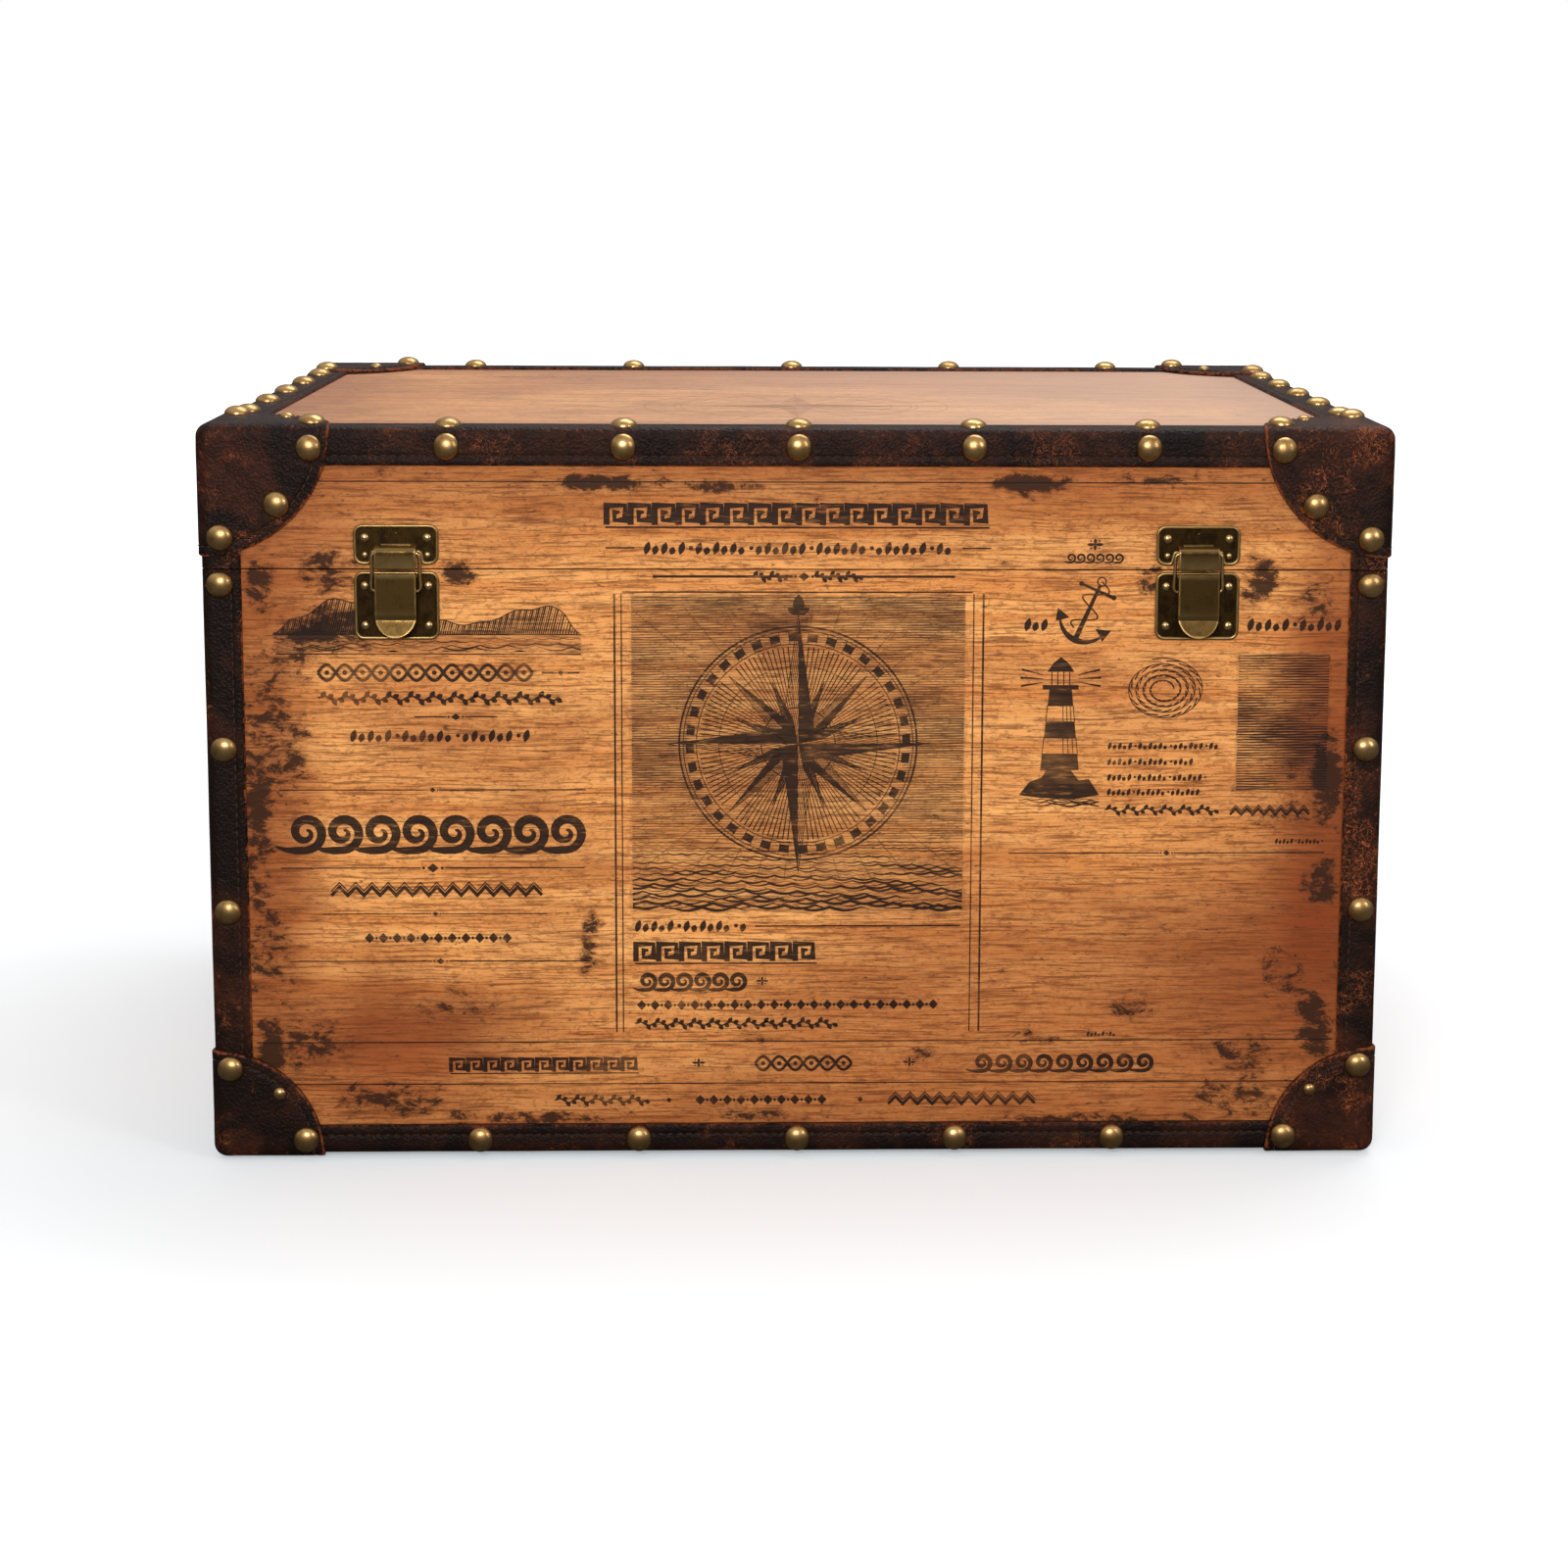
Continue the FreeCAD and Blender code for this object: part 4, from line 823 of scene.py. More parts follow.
def pad_surface(radius, strips_below):
    """Rows from the pole out over the pad, round its rim and back underneath; weights mark the rim."""
    low = np.array([0, 1.2, 2.4, 3.6, 4.8, 6.5, 9, 13, 18, 24, 31, 38, 45])
    quarter = np.concatenate([low, 90 - low[-2:0:-1]])
    phi = np.concatenate([quarter, quarter + 90, quarter + 180])
    rho = np.concatenate([[0.4, 1.2, 2.4, 3.8, 5.2, 6.6, 8.2], np.linspace(11, radius - 10, 12)])
    rho = np.concatenate([rho, radius - np.array([8.5, 7.4, 6.6, 6.0, 5.6, 5.2, 4.6, 3.8, 2.8, 2.0, 1.3])])
    rows = []
    weights = []
    for r in rho:
        flat = corner_polar(np.full(len(phi), r), phi)
        fall = step(radius - 9, radius - 1, r) * (1 - beside_strip(flat, *strips_below))
        dip = 0.5 * bell(radius - r - stitch_inset, 0.75)
        uneven = 0.12 * ripple(phi * 0.9 + r, radius) * step(4, 14, r)
        rows.append(on_corner(flat, pad_height - fall - dip + uneven))
        weights.append(bell(radius - r, 1.6))
    flat = corner_polar(np.full(len(phi), radius), phi)
    top = pad_height - (1 - beside_strip(flat, *strips_below))
    for turn in np.radians([25, 50, 72, 90]):
        rim_flat = corner_polar(np.full(len(phi), radius - rim_round + rim_round * math.sin(turn)), phi)
        rows.append(on_corner(rim_flat, top - rim_round * (1 - math.cos(turn))))
        weights.append(1.0)
    for r in (radius, radius - 4, radius / 2, 8, 1):
        rows.append(on_corner(corner_polar(np.full(len(phi), r), phi), np.full(len(phi), underside)))
        weights.append(0.0)
    return np.array(rows), np.repeat(weights, len(phi))


def to_corner(points, sx, sy, level, fold_sign):
    """Inward distances turned into x, y, z at one corner of the trunk."""
    a, b, c = np.moveaxis(points, -1, 0)
    return np.stack([sx * (skin_x - a), sy * (skin_y - b), level + fold_sign * c], -1)


pads = ((lid_pad, (lid_drop, front_flange, side_flange)), (foot_pad, (foot_rise, foot_flange, foot_flange)))
for (part, body, level, fold_sign), (radius, below) in zip(halves, pads):
    rows, weights = pad_surface(radius, below)
    shapes = [loft(to_corner(rows, sx, sy, level, fold_sign)) for sx, sy in signs]
    worn = np.tile(weights, len(signs))
    piece = make_piece(part + "_pads", shapes, pad_leather, body, sharp=60, worn=worn)
    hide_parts(part + "_corner_pads")

# %% [markdown]
# ## Stitches
# A stitch is a short thick thread whose ends dive into the leather. One small mesh, a bowed rod
# with six sides, is repeated along every line of the strips and pads. Positions, directions and
# outward normals are arrays, so a few thousand stitches are one matrix product.

# %% Repeat one small shape along lines
def repeated(template, origins, along, outward):
    """Template (a along, b across, c out) set at each origin; one matrix product for all copies."""
    points, faces = template
    side = np.cross(outward, along)
    basis = np.stack([along, side, outward], 1)
    copies = np.einsum("pk,nkx->npx", points, basis) + origins[:, None, :]
    stride = len(points)
    numbered = []
    for k in range(len(origins)):
        numbered += [[i + k * stride for i in face] for face in faces]
    return copies.reshape(-1, 3), numbered


def stitch_shape(length, width, height):
    """Bowed rod: a half ellipse along its length, a hexagon across."""
    t = np.linspace(-1, 1, 5)
    swell = np.sqrt(np.clip(1 - 0.75 * t**2, 0.1, 1))
    angles = np.arange(6) * math.pi / 3
    ring = np.stack([np.zeros(6), np.cos(angles) * width / 2, np.sin(angles) * height / 2], -1)
    rings = ring[None] * np.stack([np.ones(5), swell, swell], -1)[:, None, :]
    rings[..., 0] = (t * length / 2)[:, None]
    rings[..., 2] += (height * 0.45 * (1 - t**2) - height * 0.25)[:, None]
    return loft(rings)


def line_of(start, end, outward, pitch=stitch_pitch):
    """Evenly spaced stitch places between two points."""
    start, end = np.array(start, float), np.array(end, float)
    length = np.linalg.norm(end - start)
    count = max(2, int(length / pitch))
    share = (np.arange(count) + 0.5) / count
    places = start + (end - start) * share[:, None]
    along = np.tile((end - start) / length, (count, 1))
    return places, along, np.tile(np.array(outward, float), (count, 1))


def arc_of(radius, level, fold_sign, sx, sy):
    """Stitch places along a pad's rim, over all three faces."""
    count = int(radius * math.pi * 1.5 / stitch_pitch)
    phi = (np.arange(count) + 0.5) * 270 / count
    height = np.full(count, pad_height - 0.4)

    def on_rim(turned, lifted):
        """Rim points, moved on by a few degrees or lifted off the leather."""
        flat = corner_polar(np.full(count, radius), phi + turned)
        return to_corner(on_corner(flat, height + lifted), sx, sy, level, fold_sign)

    places = on_rim(0, 0)
    above = on_rim(0, 1)
    ahead = on_rim(0.02, 0)
    return places, unit(ahead - places), above - places


def stitch_lines(part, level, fold_sign):
    """All stitched lines of the lid or the body, as stacked places, directions and normals."""
    lid = part == "lid"
    radius, leg = (lid_pad, lid_drop) if lid else (foot_pad, foot_rise)
    wall_z = level + fold_sign * (leg - stitch_inset)
    sunk = 0.42
    clear = math.sqrt(radius**2 - (leg - stitch_inset) ** 2) + 2
    lines = []
    for s in (-1, 1):
        y = s * (skin_y - sunk)
        x = s * (skin_x - sunk)
        lines.append(line_of((-skin_x + clear, y, wall_z), (skin_x - clear, y, wall_z), (0, s, 0)))
        lines.append(line_of((x, -skin_y + clear, wall_z), (x, skin_y - clear, wall_z), (s, 0, 0)))
    if lid:
        top = level - sunk
        for s in (-1, 1):
            y = s * (skin_y - front_flange + stitch_inset)
            x = s * (skin_x - side_flange + stitch_inset)
            lines.append(line_of((-skin_x + clear, y, top), (skin_x - clear, y, top), (0, 0, 1)))
            lines.append(line_of((x, -skin_y + clear, top), (x, skin_y - clear, top), (0, 0, 1)))
    reach = math.sqrt(radius**2 - (upright - stitch_inset) ** 2) + 2
    z_ends = (lid_rim + 2, level - reach) if lid else (level + reach, rim - 2)
    for sx, sy in signs:
        x = sx * (skin_x - upright + stitch_inset)
        y = sy * (skin_y - upright + stitch_inset)
        wall_x = sx * (skin_x - sunk)
        wall_y = sy * (skin_y - sunk)
        lines.append(line_of((x, wall_y, z_ends[0]), (x, wall_y, z_ends[1]), (0, sy, 0)))
        lines.append(line_of((wall_x, y, z_ends[0]), (wall_x, y, z_ends[1]), (sx, 0, 0)))
        lines.append(arc_of(radius - stitch_inset, level, fold_sign, sx, sy))
    return [np.concatenate(arrays) for arrays in zip(*lines)]


stitch = stitch_shape(3.7, 1.25, 0.8)
for part, body, level, fold_sign in halves:
    threads = repeated(stitch, *stitch_lines(part, level, fold_sign))
    make_piece(part + "_stitches", [threads], waxed_thread, body)

# %% [markdown]
# ## Domed nails
# A nail head is a turned shape: half an ellipse from the crown down to a rim that sinks a little
# into the leather. Each one sits a degree or two off square, as hammered nails do.

# %% Nails
def turned(profile, sides):
    """Shape turned round the third axis from (radius, height) pairs, with a flat cap at each end."""
    profile = np.asarray(profile, float)
    turn = np.arange(sides) * 2 * math.pi / sides
    rings = np.stack([profile[:, :1] * np.cos(turn), profile[:, :1] * np.sin(turn),
                      np.repeat(profile[:, 1:], sides, 1)], -1)
    return loft(rings)


def dome(radius, height, sunk, sides, rings):
    """Half ellipse: radius * sin and height * cos of an angle that runs from the crown to the rim."""
    angle = np.linspace(0.06, math.pi / 2, rings)
    profile = np.stack([radius * np.sin(angle), height * np.cos(angle)], -1)
    return turned(np.concatenate([profile, [[radius, -sunk], [radius * 0.6, -sunk]]]), sides)


def any_across(outward):
    """A unit direction square to each outward direction."""
    helper = np.where(np.abs(outward[:, 2:]) > 0.5, [[1.0, 0, 0]], [[0, 0, 1.0]])
    return unit(np.cross(outward, helper))


def heads(template, spots, outward):
    """Copies of a head at the spots, each looking along its outward direction."""
    outward = np.broadcast_to(np.asarray(outward, float), (len(spots), 3))
    return repeated(template, np.asarray(spots, float), any_across(outward), outward)


def wall_spot(side, along, z, proud):
    """Place and outward direction on one of the four walls."""
    sign = -1 if side in ("front", "left") else 1
    if side in ("front", "back"):
        return (along, sign * (half_y + proud), z), (0, sign, 0)
    return (sign * (half_x + proud), along, z), (sign, 0, 0)


foot_nail = 9.0
foot_pad_near = 9.8
foot_pad_far = 51.5
foot_pad_middle = 37.0
lid_nail = 10.75
lid_pad_near = 11.5
lid_pad_far = 61.0
lid_pad_middle = 42.5
upright_nail = 10.5
upright_drop = 8.0
upright_pitch = 93.0
walls = {"front": skin_x, "back": skin_x, "left": skin_y, "right": skin_y}
lid_pitch = {"front": 0.376 * (skin_x - lid_pad), "back": 0.43 * (skin_x - lid_pad),
             "left": 0.43 * (skin_y - lid_pad), "right": 0.43 * (skin_y - lid_pad)}
foot_pitch = dict(lid_pitch, front=0.349 * (skin_x - lid_pad))


def body_nails():
    """Large and small nails of the body."""
    large = []
    small = []
    near, far, middle = foot_pad_near, foot_pad_far, foot_pad_middle
    for side, half in walls.items():
        for i in range(-2, 3):
            large.append(wall_spot(side, i * foot_pitch[side], skin_low + foot_nail, strip))
        for end in (-1, 1):
            large.append(wall_spot(side, end * (half - far), skin_low + near, pad_height))
            if side in ("front", "back"):
                large.append(wall_spot(side, end * (half - near), skin_low + far, pad_height))
                for k in range(3):
                    z = rim - upright_drop - k * upright_pitch
                    large.append(wall_spot(side, end * (half - upright_nail), z, strip))
            small.append(wall_spot(side, end * (half - middle), skin_low + middle, pad_height))
    return large, small


def lid_nails():
    """Large and small nails of the lid's walls and top."""
    large = []
    small = []
    near, far, middle = lid_pad_near, lid_pad_far, lid_pad_middle
    for side, half in walls.items():
        for i in range(-2, 3):
            large.append(wall_spot(side, i * lid_pitch[side], skin_top - lid_nail, strip))
        on_pad = [(far, near), (middle, middle)] + ([(near, far)] if side in ("front", "back") else [])
        for end in (-1, 1):
            for a, b in on_pad:
                large.append(wall_spot(side, end * (half - a), skin_top - b, pad_height))
    for i in range(-2, 3):
        for x, y in ((i * lid_pitch["front"], -skin_y + near), (i * lid_pitch["back"], skin_y - near),
                     (-skin_x + near, i * lid_pitch["left"]), (skin_x - near, i * lid_pitch["left"])):
            large.append(((x, y, skin_top), (0, 0, 1)))
    for sx, sy in signs:
        for a, b in ((far, near), (near, far)):
            large.append(((sx * (skin_x - a), sy * (skin_y - b), lid_top + pad_height), (0, 0, 1)))
        place = (sx * (skin_x - middle), sy * (skin_y - middle), lid_top + pad_height)
        small.append((place, (0, 0, 1)))
    return large, small


def set_heads(spots, template, rng):
    """Copies of a head at each spot, tilted by a small random amount."""
    tilt = 0.025
    origins, outward = [np.array(column, float) for column in zip(*spots)]
    leaning = unit(outward + rng.normal(0, tilt, outward.shape))
    return heads(template, origins, leaning)


rng = np.random.default_rng(7)
large_head = dome(7.5, 4.5, 0.5, 28, 9)
small_head = dome(3.9, 2.4, 0.3, 16, 5)
for part, body, (large, small) in (("body", "case", body_nails()), ("lid", "lid", lid_nails())):
    shapes = [set_heads(large, large_head, rng), set_heads(small, small_head, rng)]
    piece = make_piece(part + "_nails", shapes, nail_brass, body)
    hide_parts(part + "_dome_nails")

# %% [markdown]
# ## Cut and bent sheet
# Plates, ears, arms and cheeks are all sheet metal: an outline with rounded corners, extruded,
# with its sharp edges eased. The outline is moved inwards along its corner bisectors to ease an
# edge or to draw a stamped rim, and the rings are lofted.

# %% Outlines and slabs
def corner_arc(before, corner, after, radius, steps):
    """Arc that touches both lines at a corner: start sin((1-s)a) + end sin(sa), over sin(a)."""
    back = unit(before - corner)
    ahead = unit(after - corner)
    half = math.acos(np.clip(back @ ahead, -1, 1)) / 2
    centre = corner + unit(back + ahead) * radius / math.sin(half)
    start = corner + back * radius / math.tan(half) - centre
    end = corner + ahead * radius / math.tan(half) - centre
    angle = math.pi - 2 * half
    share = np.linspace(0, 1, steps)[:, None]
    return centre + (start * np.sin((1 - share) * angle) + end * np.sin(share * angle)) / math.sin(angle)


def rounded(corners, radii, steps=5):
    """Closed outline through corners, each replaced by an arc of its radius unless that is zero."""
    corners = np.asarray(corners, float)
    pieces = []
    for i, corner in enumerate(corners):
        if radii[i] == 0:
            pieces.append(corner[None])
        else:
            after = corners[(i + 1) % len(corners)]
            pieces.append(corner_arc(corners[i - 1], corner, after, radii[i], steps))
    return np.concatenate(pieces)


def double_area(outline):
    """Twice the area inside an outline, negative where it runs clockwise."""
    a, b = outline.T
    return np.sum(a * np.roll(b, -1) - b * np.roll(a, -1))


def inset(outline, distance):
    """Outline moved inwards: along each bisector by distance over the cosine of half the turn."""
    ahead = np.roll(outline, -1, 0) - outline
    ahead /= np.maximum(np.linalg.norm(ahead, axis=1, keepdims=True), 1e-9)
    normal = np.stack([-ahead[:, 1], ahead[:, 0]], -1) * np.sign(double_area(outline))
    before = np.roll(normal, 1, 0)
    bisector = (normal + before) / (1 + np.sum(normal * before, 1, keepdims=True))
    return outline + bisector * distance


def stamped(outline, section, origin, across, up, out):
    """Loft of an outline through (inset, height) pairs of a section, in the plane given."""
    rings = []
    for distance, height in section:
        ring = inset(outline, distance)
        local = np.concatenate([ring, np.full((len(ring), 1), height)], 1)
        rings.append(placed(local, origin, across, up, out))
    return loft(np.array(rings))


def slab(outline, low, high, origin, across, up, out, ease):
    """Outline extruded from low to high with both edges eased by a quarter round."""
    section = [(ease, low), (ease * 0.3, low + ease * 0.3), (0, low + ease)]
    section += [(0, high - ease), (ease * 0.3, high - ease * 0.3), (ease, high)]
    return stamped(outline, section, origin, across, up, out)


def rectangle(low_a, high_a, low_b, high_b, radius, steps=6):
    """Rounded rectangle outline."""
    corners = [(low_a, low_b), (high_a, low_b), (high_a, high_b), (low_a, high_b)]
    return rounded(corners, [radius] * 4, steps)


def tube(path, radius, sides):
    """Round bar along a path that lies in one plane: rings square to the mitred direction."""
    path = np.asarray(path, float)
    ahead = unit(np.gradient(path, axis=0))
    normal = np.cross(ahead[:-1], ahead[1:]).sum(0)
    length = np.linalg.norm(normal)
    normal = normal / length if length > 1e-9 else any_across(ahead[:1])[0]
    side = np.cross(ahead, normal)
    turn = np.arange(sides) * 2 * math.pi / sides
    ring = normal * np.cos(turn)[None, :, None] + side[:, None, :] * np.sin(turn)[None, :, None]
    return loft(path[:, None, :] + ring * radius)


def bent_path(corners, radii, steps=7):
    """Open path in space with an arc of its own radius at each inner corner."""
    corners = np.asarray(corners, float)
    pieces = [corners[:1]]
    for i in range(1, len(corners) - 1):
        pieces.append(corner_arc(corners[i - 1], corners[i], corners[i + 1], radii[i], steps))
    pieces.append(corners[-1:])
    return np.concatenate(pieces)


def spun(profile, origin, axis, across, sides):
    """Turned shape from (radius, along) pairs about an axis through origin."""
    points, faces = turned(profile, sides)
    third = np.cross(axis, across)
    return placed(points, origin, across, third, axis), faces

# %% [markdown]
# ## Latches
# Each latch is stamped and bent from sheet. The plates have a rolled rim round a sunk field. The
# lid's plate is open at its lower edge, where the strap comes out and rolls over; behind it the
# wire bail turns in two ears. The lever's face flares at its end for the thumb. Rims and folds are
# rubbed bright and also carry a painted highlight; the worn attribute tells the brass both.

# %% Latch plates
RIGHT = (1.0, 0.0, 0.0)
UP = (0.0, 0.0, 1.0)
OUT = (0.0, -1.0, 0.0)
plate_half = 23.5
plate_round = 5.0
base_low = -39.5
base_high = -1.2
catch_low = 2.5
catch_high = 25.0
field_height = 1.2
ear_thick = 1.3
ear_sides = (-9.9, 8.6)
bail_up = 9.4
bail_out = 4.3
bar_up = -12.0
bar_out = 3.4
wire_radius = 1.0
pin_up = -3.4
pin_out = 5.2
strap_half = 11.5
lever_half = 11.5
cheek_thick = 1.2
rim_section = [(0.15, 0.0), (0, 0.3), (0, 1.2), (0.3, 1.65), (0.8, 1.85), (1.3, 1.75), (1.75, 1.45),
               (2.1, field_height)]
# Brightness across the rim: rubbed wear and a painted highlight, strongest on the crown of the roll.
rim_rub_and_highlight = [0.2, 0.5, 0.8, 1.0, 1.0, 0.9, 0.3, 0.0]


def rim_plate(outline, origin):
    """Stamped plate with the rolled rim; gives the shape and how bright each point is made: rubbed wear, and
    a painted highlight on the crown of the roll.
    """
    shape = stamped(outline, rim_section, origin, RIGHT, UP, OUT)
    return shape, np.repeat(rim_rub_and_highlight, len(outline))


def plain(shape, amount):
    """A shape with one rubbed amount for all its points."""
    return shape, np.full(len(shape[0]), amount)


def rivet_heads(origin, places, radius, height, sides=16):
    """Domed rivets on the sunk field of a plate."""
    template = dome(radius, height, 0.2, sides, 5)
    spots = [(origin[0] + a, -half_y - field_height, seam + b) for a, b in places]
    return heads(template, spots, OUT)


def ears(origin, out, up, margin):
    """Two ears that stand out of a plate and hold a pin."""
    blunt = margin * 0.5
    foot = 0.9
    corners = [(foot, up - margin), (out, up - margin), (out + margin, up - blunt),
               (out + margin, up + blunt), (out, up + margin), (foot, up + margin)]
    outline = rounded(corners, [0, 0.8, 0.6, 0.6, 0.8, 0], 4)
    return [slab(outline, x0, x0 + ear_thick, origin, OUT, UP, RIGHT, 0.2) for x0 in ear_sides]


def gather(pairs):
    """Shapes and rubbed amounts from a list of pairs."""
    return [shape for shape, amount in pairs], np.concatenate([amount for shape, amount in pairs])


def lid_plate(origin):
    """Lid plate with its open mouth, the rolled strap and the ears of the bail."""
    corners = [(-14.0, catch_low), (-12.4, 9.0), (12.4, 9.0), (14.0, catch_low), (plate_half, catch_low),
               (plate_half, catch_high), (-plate_half, catch_high), (-plate_half, catch_low)]
    outline = rounded(corners, [2.3, 0.6, 0.6, 2.3] + [plate_round] * 4)
    strap_corners = [(0.9, 12.9), (7.5, 12.9), (7.5, 0.8), (6.3, 0.8), (6.3, 11.7), (0.9, 11.7)]
    strap_side = rounded(strap_corners, [0, 3.2, 0.4, 0.4, 2.0, 0], 8)
    half = [(0.0, 0.0), (0.0, 10.2), (0.0, 11.1), (0.12, 11.38), (0.4, strap_half)]
    section = [(ease, -across) for ease, across in half[:0:-1]] + half
    strap = stamped(strap_side, section, origin, OUT, UP, RIGHT)
    # The strap's sides, lower fold and rolled top are rubbed bright and carry a painted highlight.
    beside = np.abs(strap[0][:, 0] - origin[0])
    above = strap[0][:, 2] - seam
    edge = np.maximum(step(10.2, 11.4, beside), 1 - step(0.7, 2.0, above))
    edge = np.maximum(edge, step(10.5, 12.5, above))
    boss_section = [(0, 1.1), (0.2, 1.5), (0.9, 1.9)]
    boss = stamped(rectangle(-9, 9, 12.3, 14.6, 1.0), boss_section, origin, RIGHT, UP, OUT)
    pairs = [rim_plate(outline, origin), (strap, edge), plain(boss, 0.2)]
    pairs += [plain(ear, 0.5) for ear in ears(origin, bail_out, bail_up, 1.8)]
    pairs.append(plain(rivet_heads(origin, [(0.0, 20.2)], 0.8, 0.6, 10), 0.3))
    return gather(pairs)


def body_plate(origin):
    """Body plate with the ears of the lever."""
    outline = rectangle(-plate_half, plate_half, base_low, base_high, plate_round)
    pairs = [rim_plate(outline, origin)] + [plain(ear, 0.4) for ear in ears(origin, pin_out, pin_up, 1.35)]
    return gather(pairs)

# %% Lever and bail
def lever_face(origin):
    """Band along a bent path, round at its end; its section is a rectangle with eased edges."""
    corners = [(8.0, 0, -1.8), (8.0, 0, -24.6), (7.3, 0, -27.6), (11.4, 0, -36.9)]
    path = bent_path(corners, [0, 3.0, 2.6, 0], 9)[:, [0, 2]]
    share = np.linspace(0, 1, 9)
    tail = path[-2] + (path[-1] - path[-2]) * np.sin(share * math.pi / 2)[:, None]
    path = np.concatenate([path[:-1], tail[1:]])
    head = path[0] + (path[1] - path[0]) * np.linspace(0, 0.98, 8)[:, None]
    path = np.concatenate([head, path[1:]])
    ahead = unit(np.gradient(path, axis=0))
    outward = np.stack([-ahead[:, 1], ahead[:, 0]], -1)
    round_from = -25.4
    below = np.clip(round_from - path[:, 1], 0, lever_half)
    half = np.sqrt(np.maximum(lever_half**2 - below**2, 0.05))
    turn = np.radians([0, 30, 60, 90])
    ease = 0.42
    thick = 1.2
    section = [(3.5, 0.0), (1.3, 0.0)]
    section += [(ease - ease * math.sin(a), -ease + ease * math.cos(a)) for a in turn]
    section += [(ease - ease * math.cos(a), ease - thick - ease * math.sin(a)) for a in turn]
    section = np.array(section)
    across = half[:, None] - np.minimum(section[None, :, 0], 0.9 * half[:, None])
    depth = np.broadcast_to(section[None, :, 1], across.shape)
    ring_across = np.concatenate([across, -across[:, ::-1]], 1)
    ring_depth = np.concatenate([depth, depth[:, ::-1]], 1)
    out = path[:, :1] + outward[:, :1] * ring_depth
    up = path[:, 1:] + outward[:, 1:] * ring_depth
    local = np.stack([ring_across, up, out], -1)
    rings = placed(local.reshape(-1, 3), origin, RIGHT, UP, OUT).reshape(local.shape)
    # The side rims, the top edge and the tip are rubbed bright and carry a painted highlight; the band at the
    # bend is a painted highlight.
    side = np.abs(ring_across) > half[:, None] - 0.9
    bend = bell(path[:, 1] + 25.6, 1.3) + (path[:, 1] > -2.6) + (path[:, 1] < -35.5)
    amount = np.clip(side * 0.85 + bend[:, None] * 0.8, 0, 1)
    return loft(rings), amount.ravel()


def lever_cheeks(origin):
    """Two cheeks with the notch in which the bail's bar lies."""
    notch = 1.5
    heel = 2.6
    corners = [(7.4, -1.9), (4.2, -1.9), (3.1, -4.0), (heel, -9.0)]
    corners += [(heel, bar_up + notch), (bar_out, bar_up + notch)]
    turn = np.radians([35, 70, 110, 145])
    corners += [(bar_out + notch * math.sin(a), bar_up + notch * math.cos(a)) for a in turn]
    corners += [(bar_out, bar_up - notch), (heel, bar_up - notch), (heel, -17.0), (7.4, -24.6)]
    outline = np.array(corners)
    sides = (-lever_half, lever_half - cheek_thick)
    return [slab(outline, x0, x0 + cheek_thick, origin, OUT, UP, RIGHT, 0.12) for x0 in sides]


def lever(origin):
    """Face and cheeks of the lever."""
    pairs = [lever_face(origin)] + [plain(cheek, 0.2) for cheek in lever_cheeks(origin)]
    return gather(pairs)


def wire_bail(origin):
    """Wire loop: two ends that meet in the ears, two legs, and the bar across."""
    half = [(0.3, bail_up, bail_out), (13.0, bail_up, bail_out), (13.5, bar_up, bar_out)]
    local = half + [(-across, up, out) for across, up, out in half[::-1]]
    corners = placed(local, origin, RIGHT, UP, OUT)
    return tube(bent_path(corners, [0, 2.4, 2.4, 2.4, 2.4, 0]), wire_radius, 12)


base_places = [(-17.4, -9.3), (17.4, -9.3), (-17.4, -31.5), (17.4, -31.5)]
catch_places = [(-17.2, 17.5), (17.2, 17.5)]
foot_places = [(-17.2, 7.9), (17.2, 7.9)]
for side, sx in ends:
    origin = (sx * latch_x, -half_y, seam)
    name = "latch_lid_plate_" + side
    shapes, worn = lid_plate(origin)
    piece = make_piece(name, shapes, latch_brass, "lid", metal_angle, worn)
    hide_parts("latch_catch_" + side)
    name = "latch_body_plate_" + side
    shapes, worn = body_plate(origin)
    piece = make_piece(name, shapes, latch_brass, "case", metal_angle, worn)
    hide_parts("latch_base_" + side)
    shapes, worn = lever(origin)
    name = "latch_lever_" + side
    piece = make_piece(name + "_face", shapes, lever_brass, name, metal_angle, worn)
    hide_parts(name)
    name = "latch_bail_" + side
    piece = make_piece(name + "_wire", [wire_bail(origin)], rim_brass, name)
    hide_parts(name)

origins = [(-latch_x, 0, 0), (latch_x, 0, 0)]
shapes = [rivet_heads(origin, base_places, 2.65, 1.5) for origin in origins]
piece = make_piece("latch_body_rivets", shapes, rim_brass, "case")
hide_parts("latch_base_rivets")
shapes = [rivet_heads(origin, catch_places, 2.65, 1.5) for origin in origins]
shapes += [rivet_heads(origin, foot_places, 1.9, 1.0) for origin in origins]
piece = make_piece("latch_lid_rivets", shapes, rim_brass, "lid")
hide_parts("latch_catch_rivets")
pin_profile = [(0.7, -11.9), (1.0, -11.6), (1.0, 11.6), (0.7, 11.9)]
pin_places = [(x, -half_y - pin_out, seam + pin_up) for x in (-latch_x, latch_x)]
shapes = [spun(pin_profile, place, RIGHT, UP, 14) for place in pin_places]
piece = make_piece("latch_pins", shapes, rim_brass, "case")
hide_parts("latch_lever_pins")

# %% [markdown]
# ## Hinges, handles, stays and glides
# The back and ends get the plain hardware of such trunks: butt hinges with three knuckles, drop
# handles with a leather grip between two eyes, folding stays inside and turned glides below.

# %% Hinges
BACK = (0.0, 1.0, 0.0)
sheet = 1.5
hinge_x = 190.0
hinge_y = half_y + 4.0
leaf_half = 30.0
knuckle_pitch = 20.0
knuckle_gap = 0.15
knuckle = knuckle_pitch - 2 * knuckle_gap
screw_head = dome(3.2, 1.3, 0.2, 18, 5)


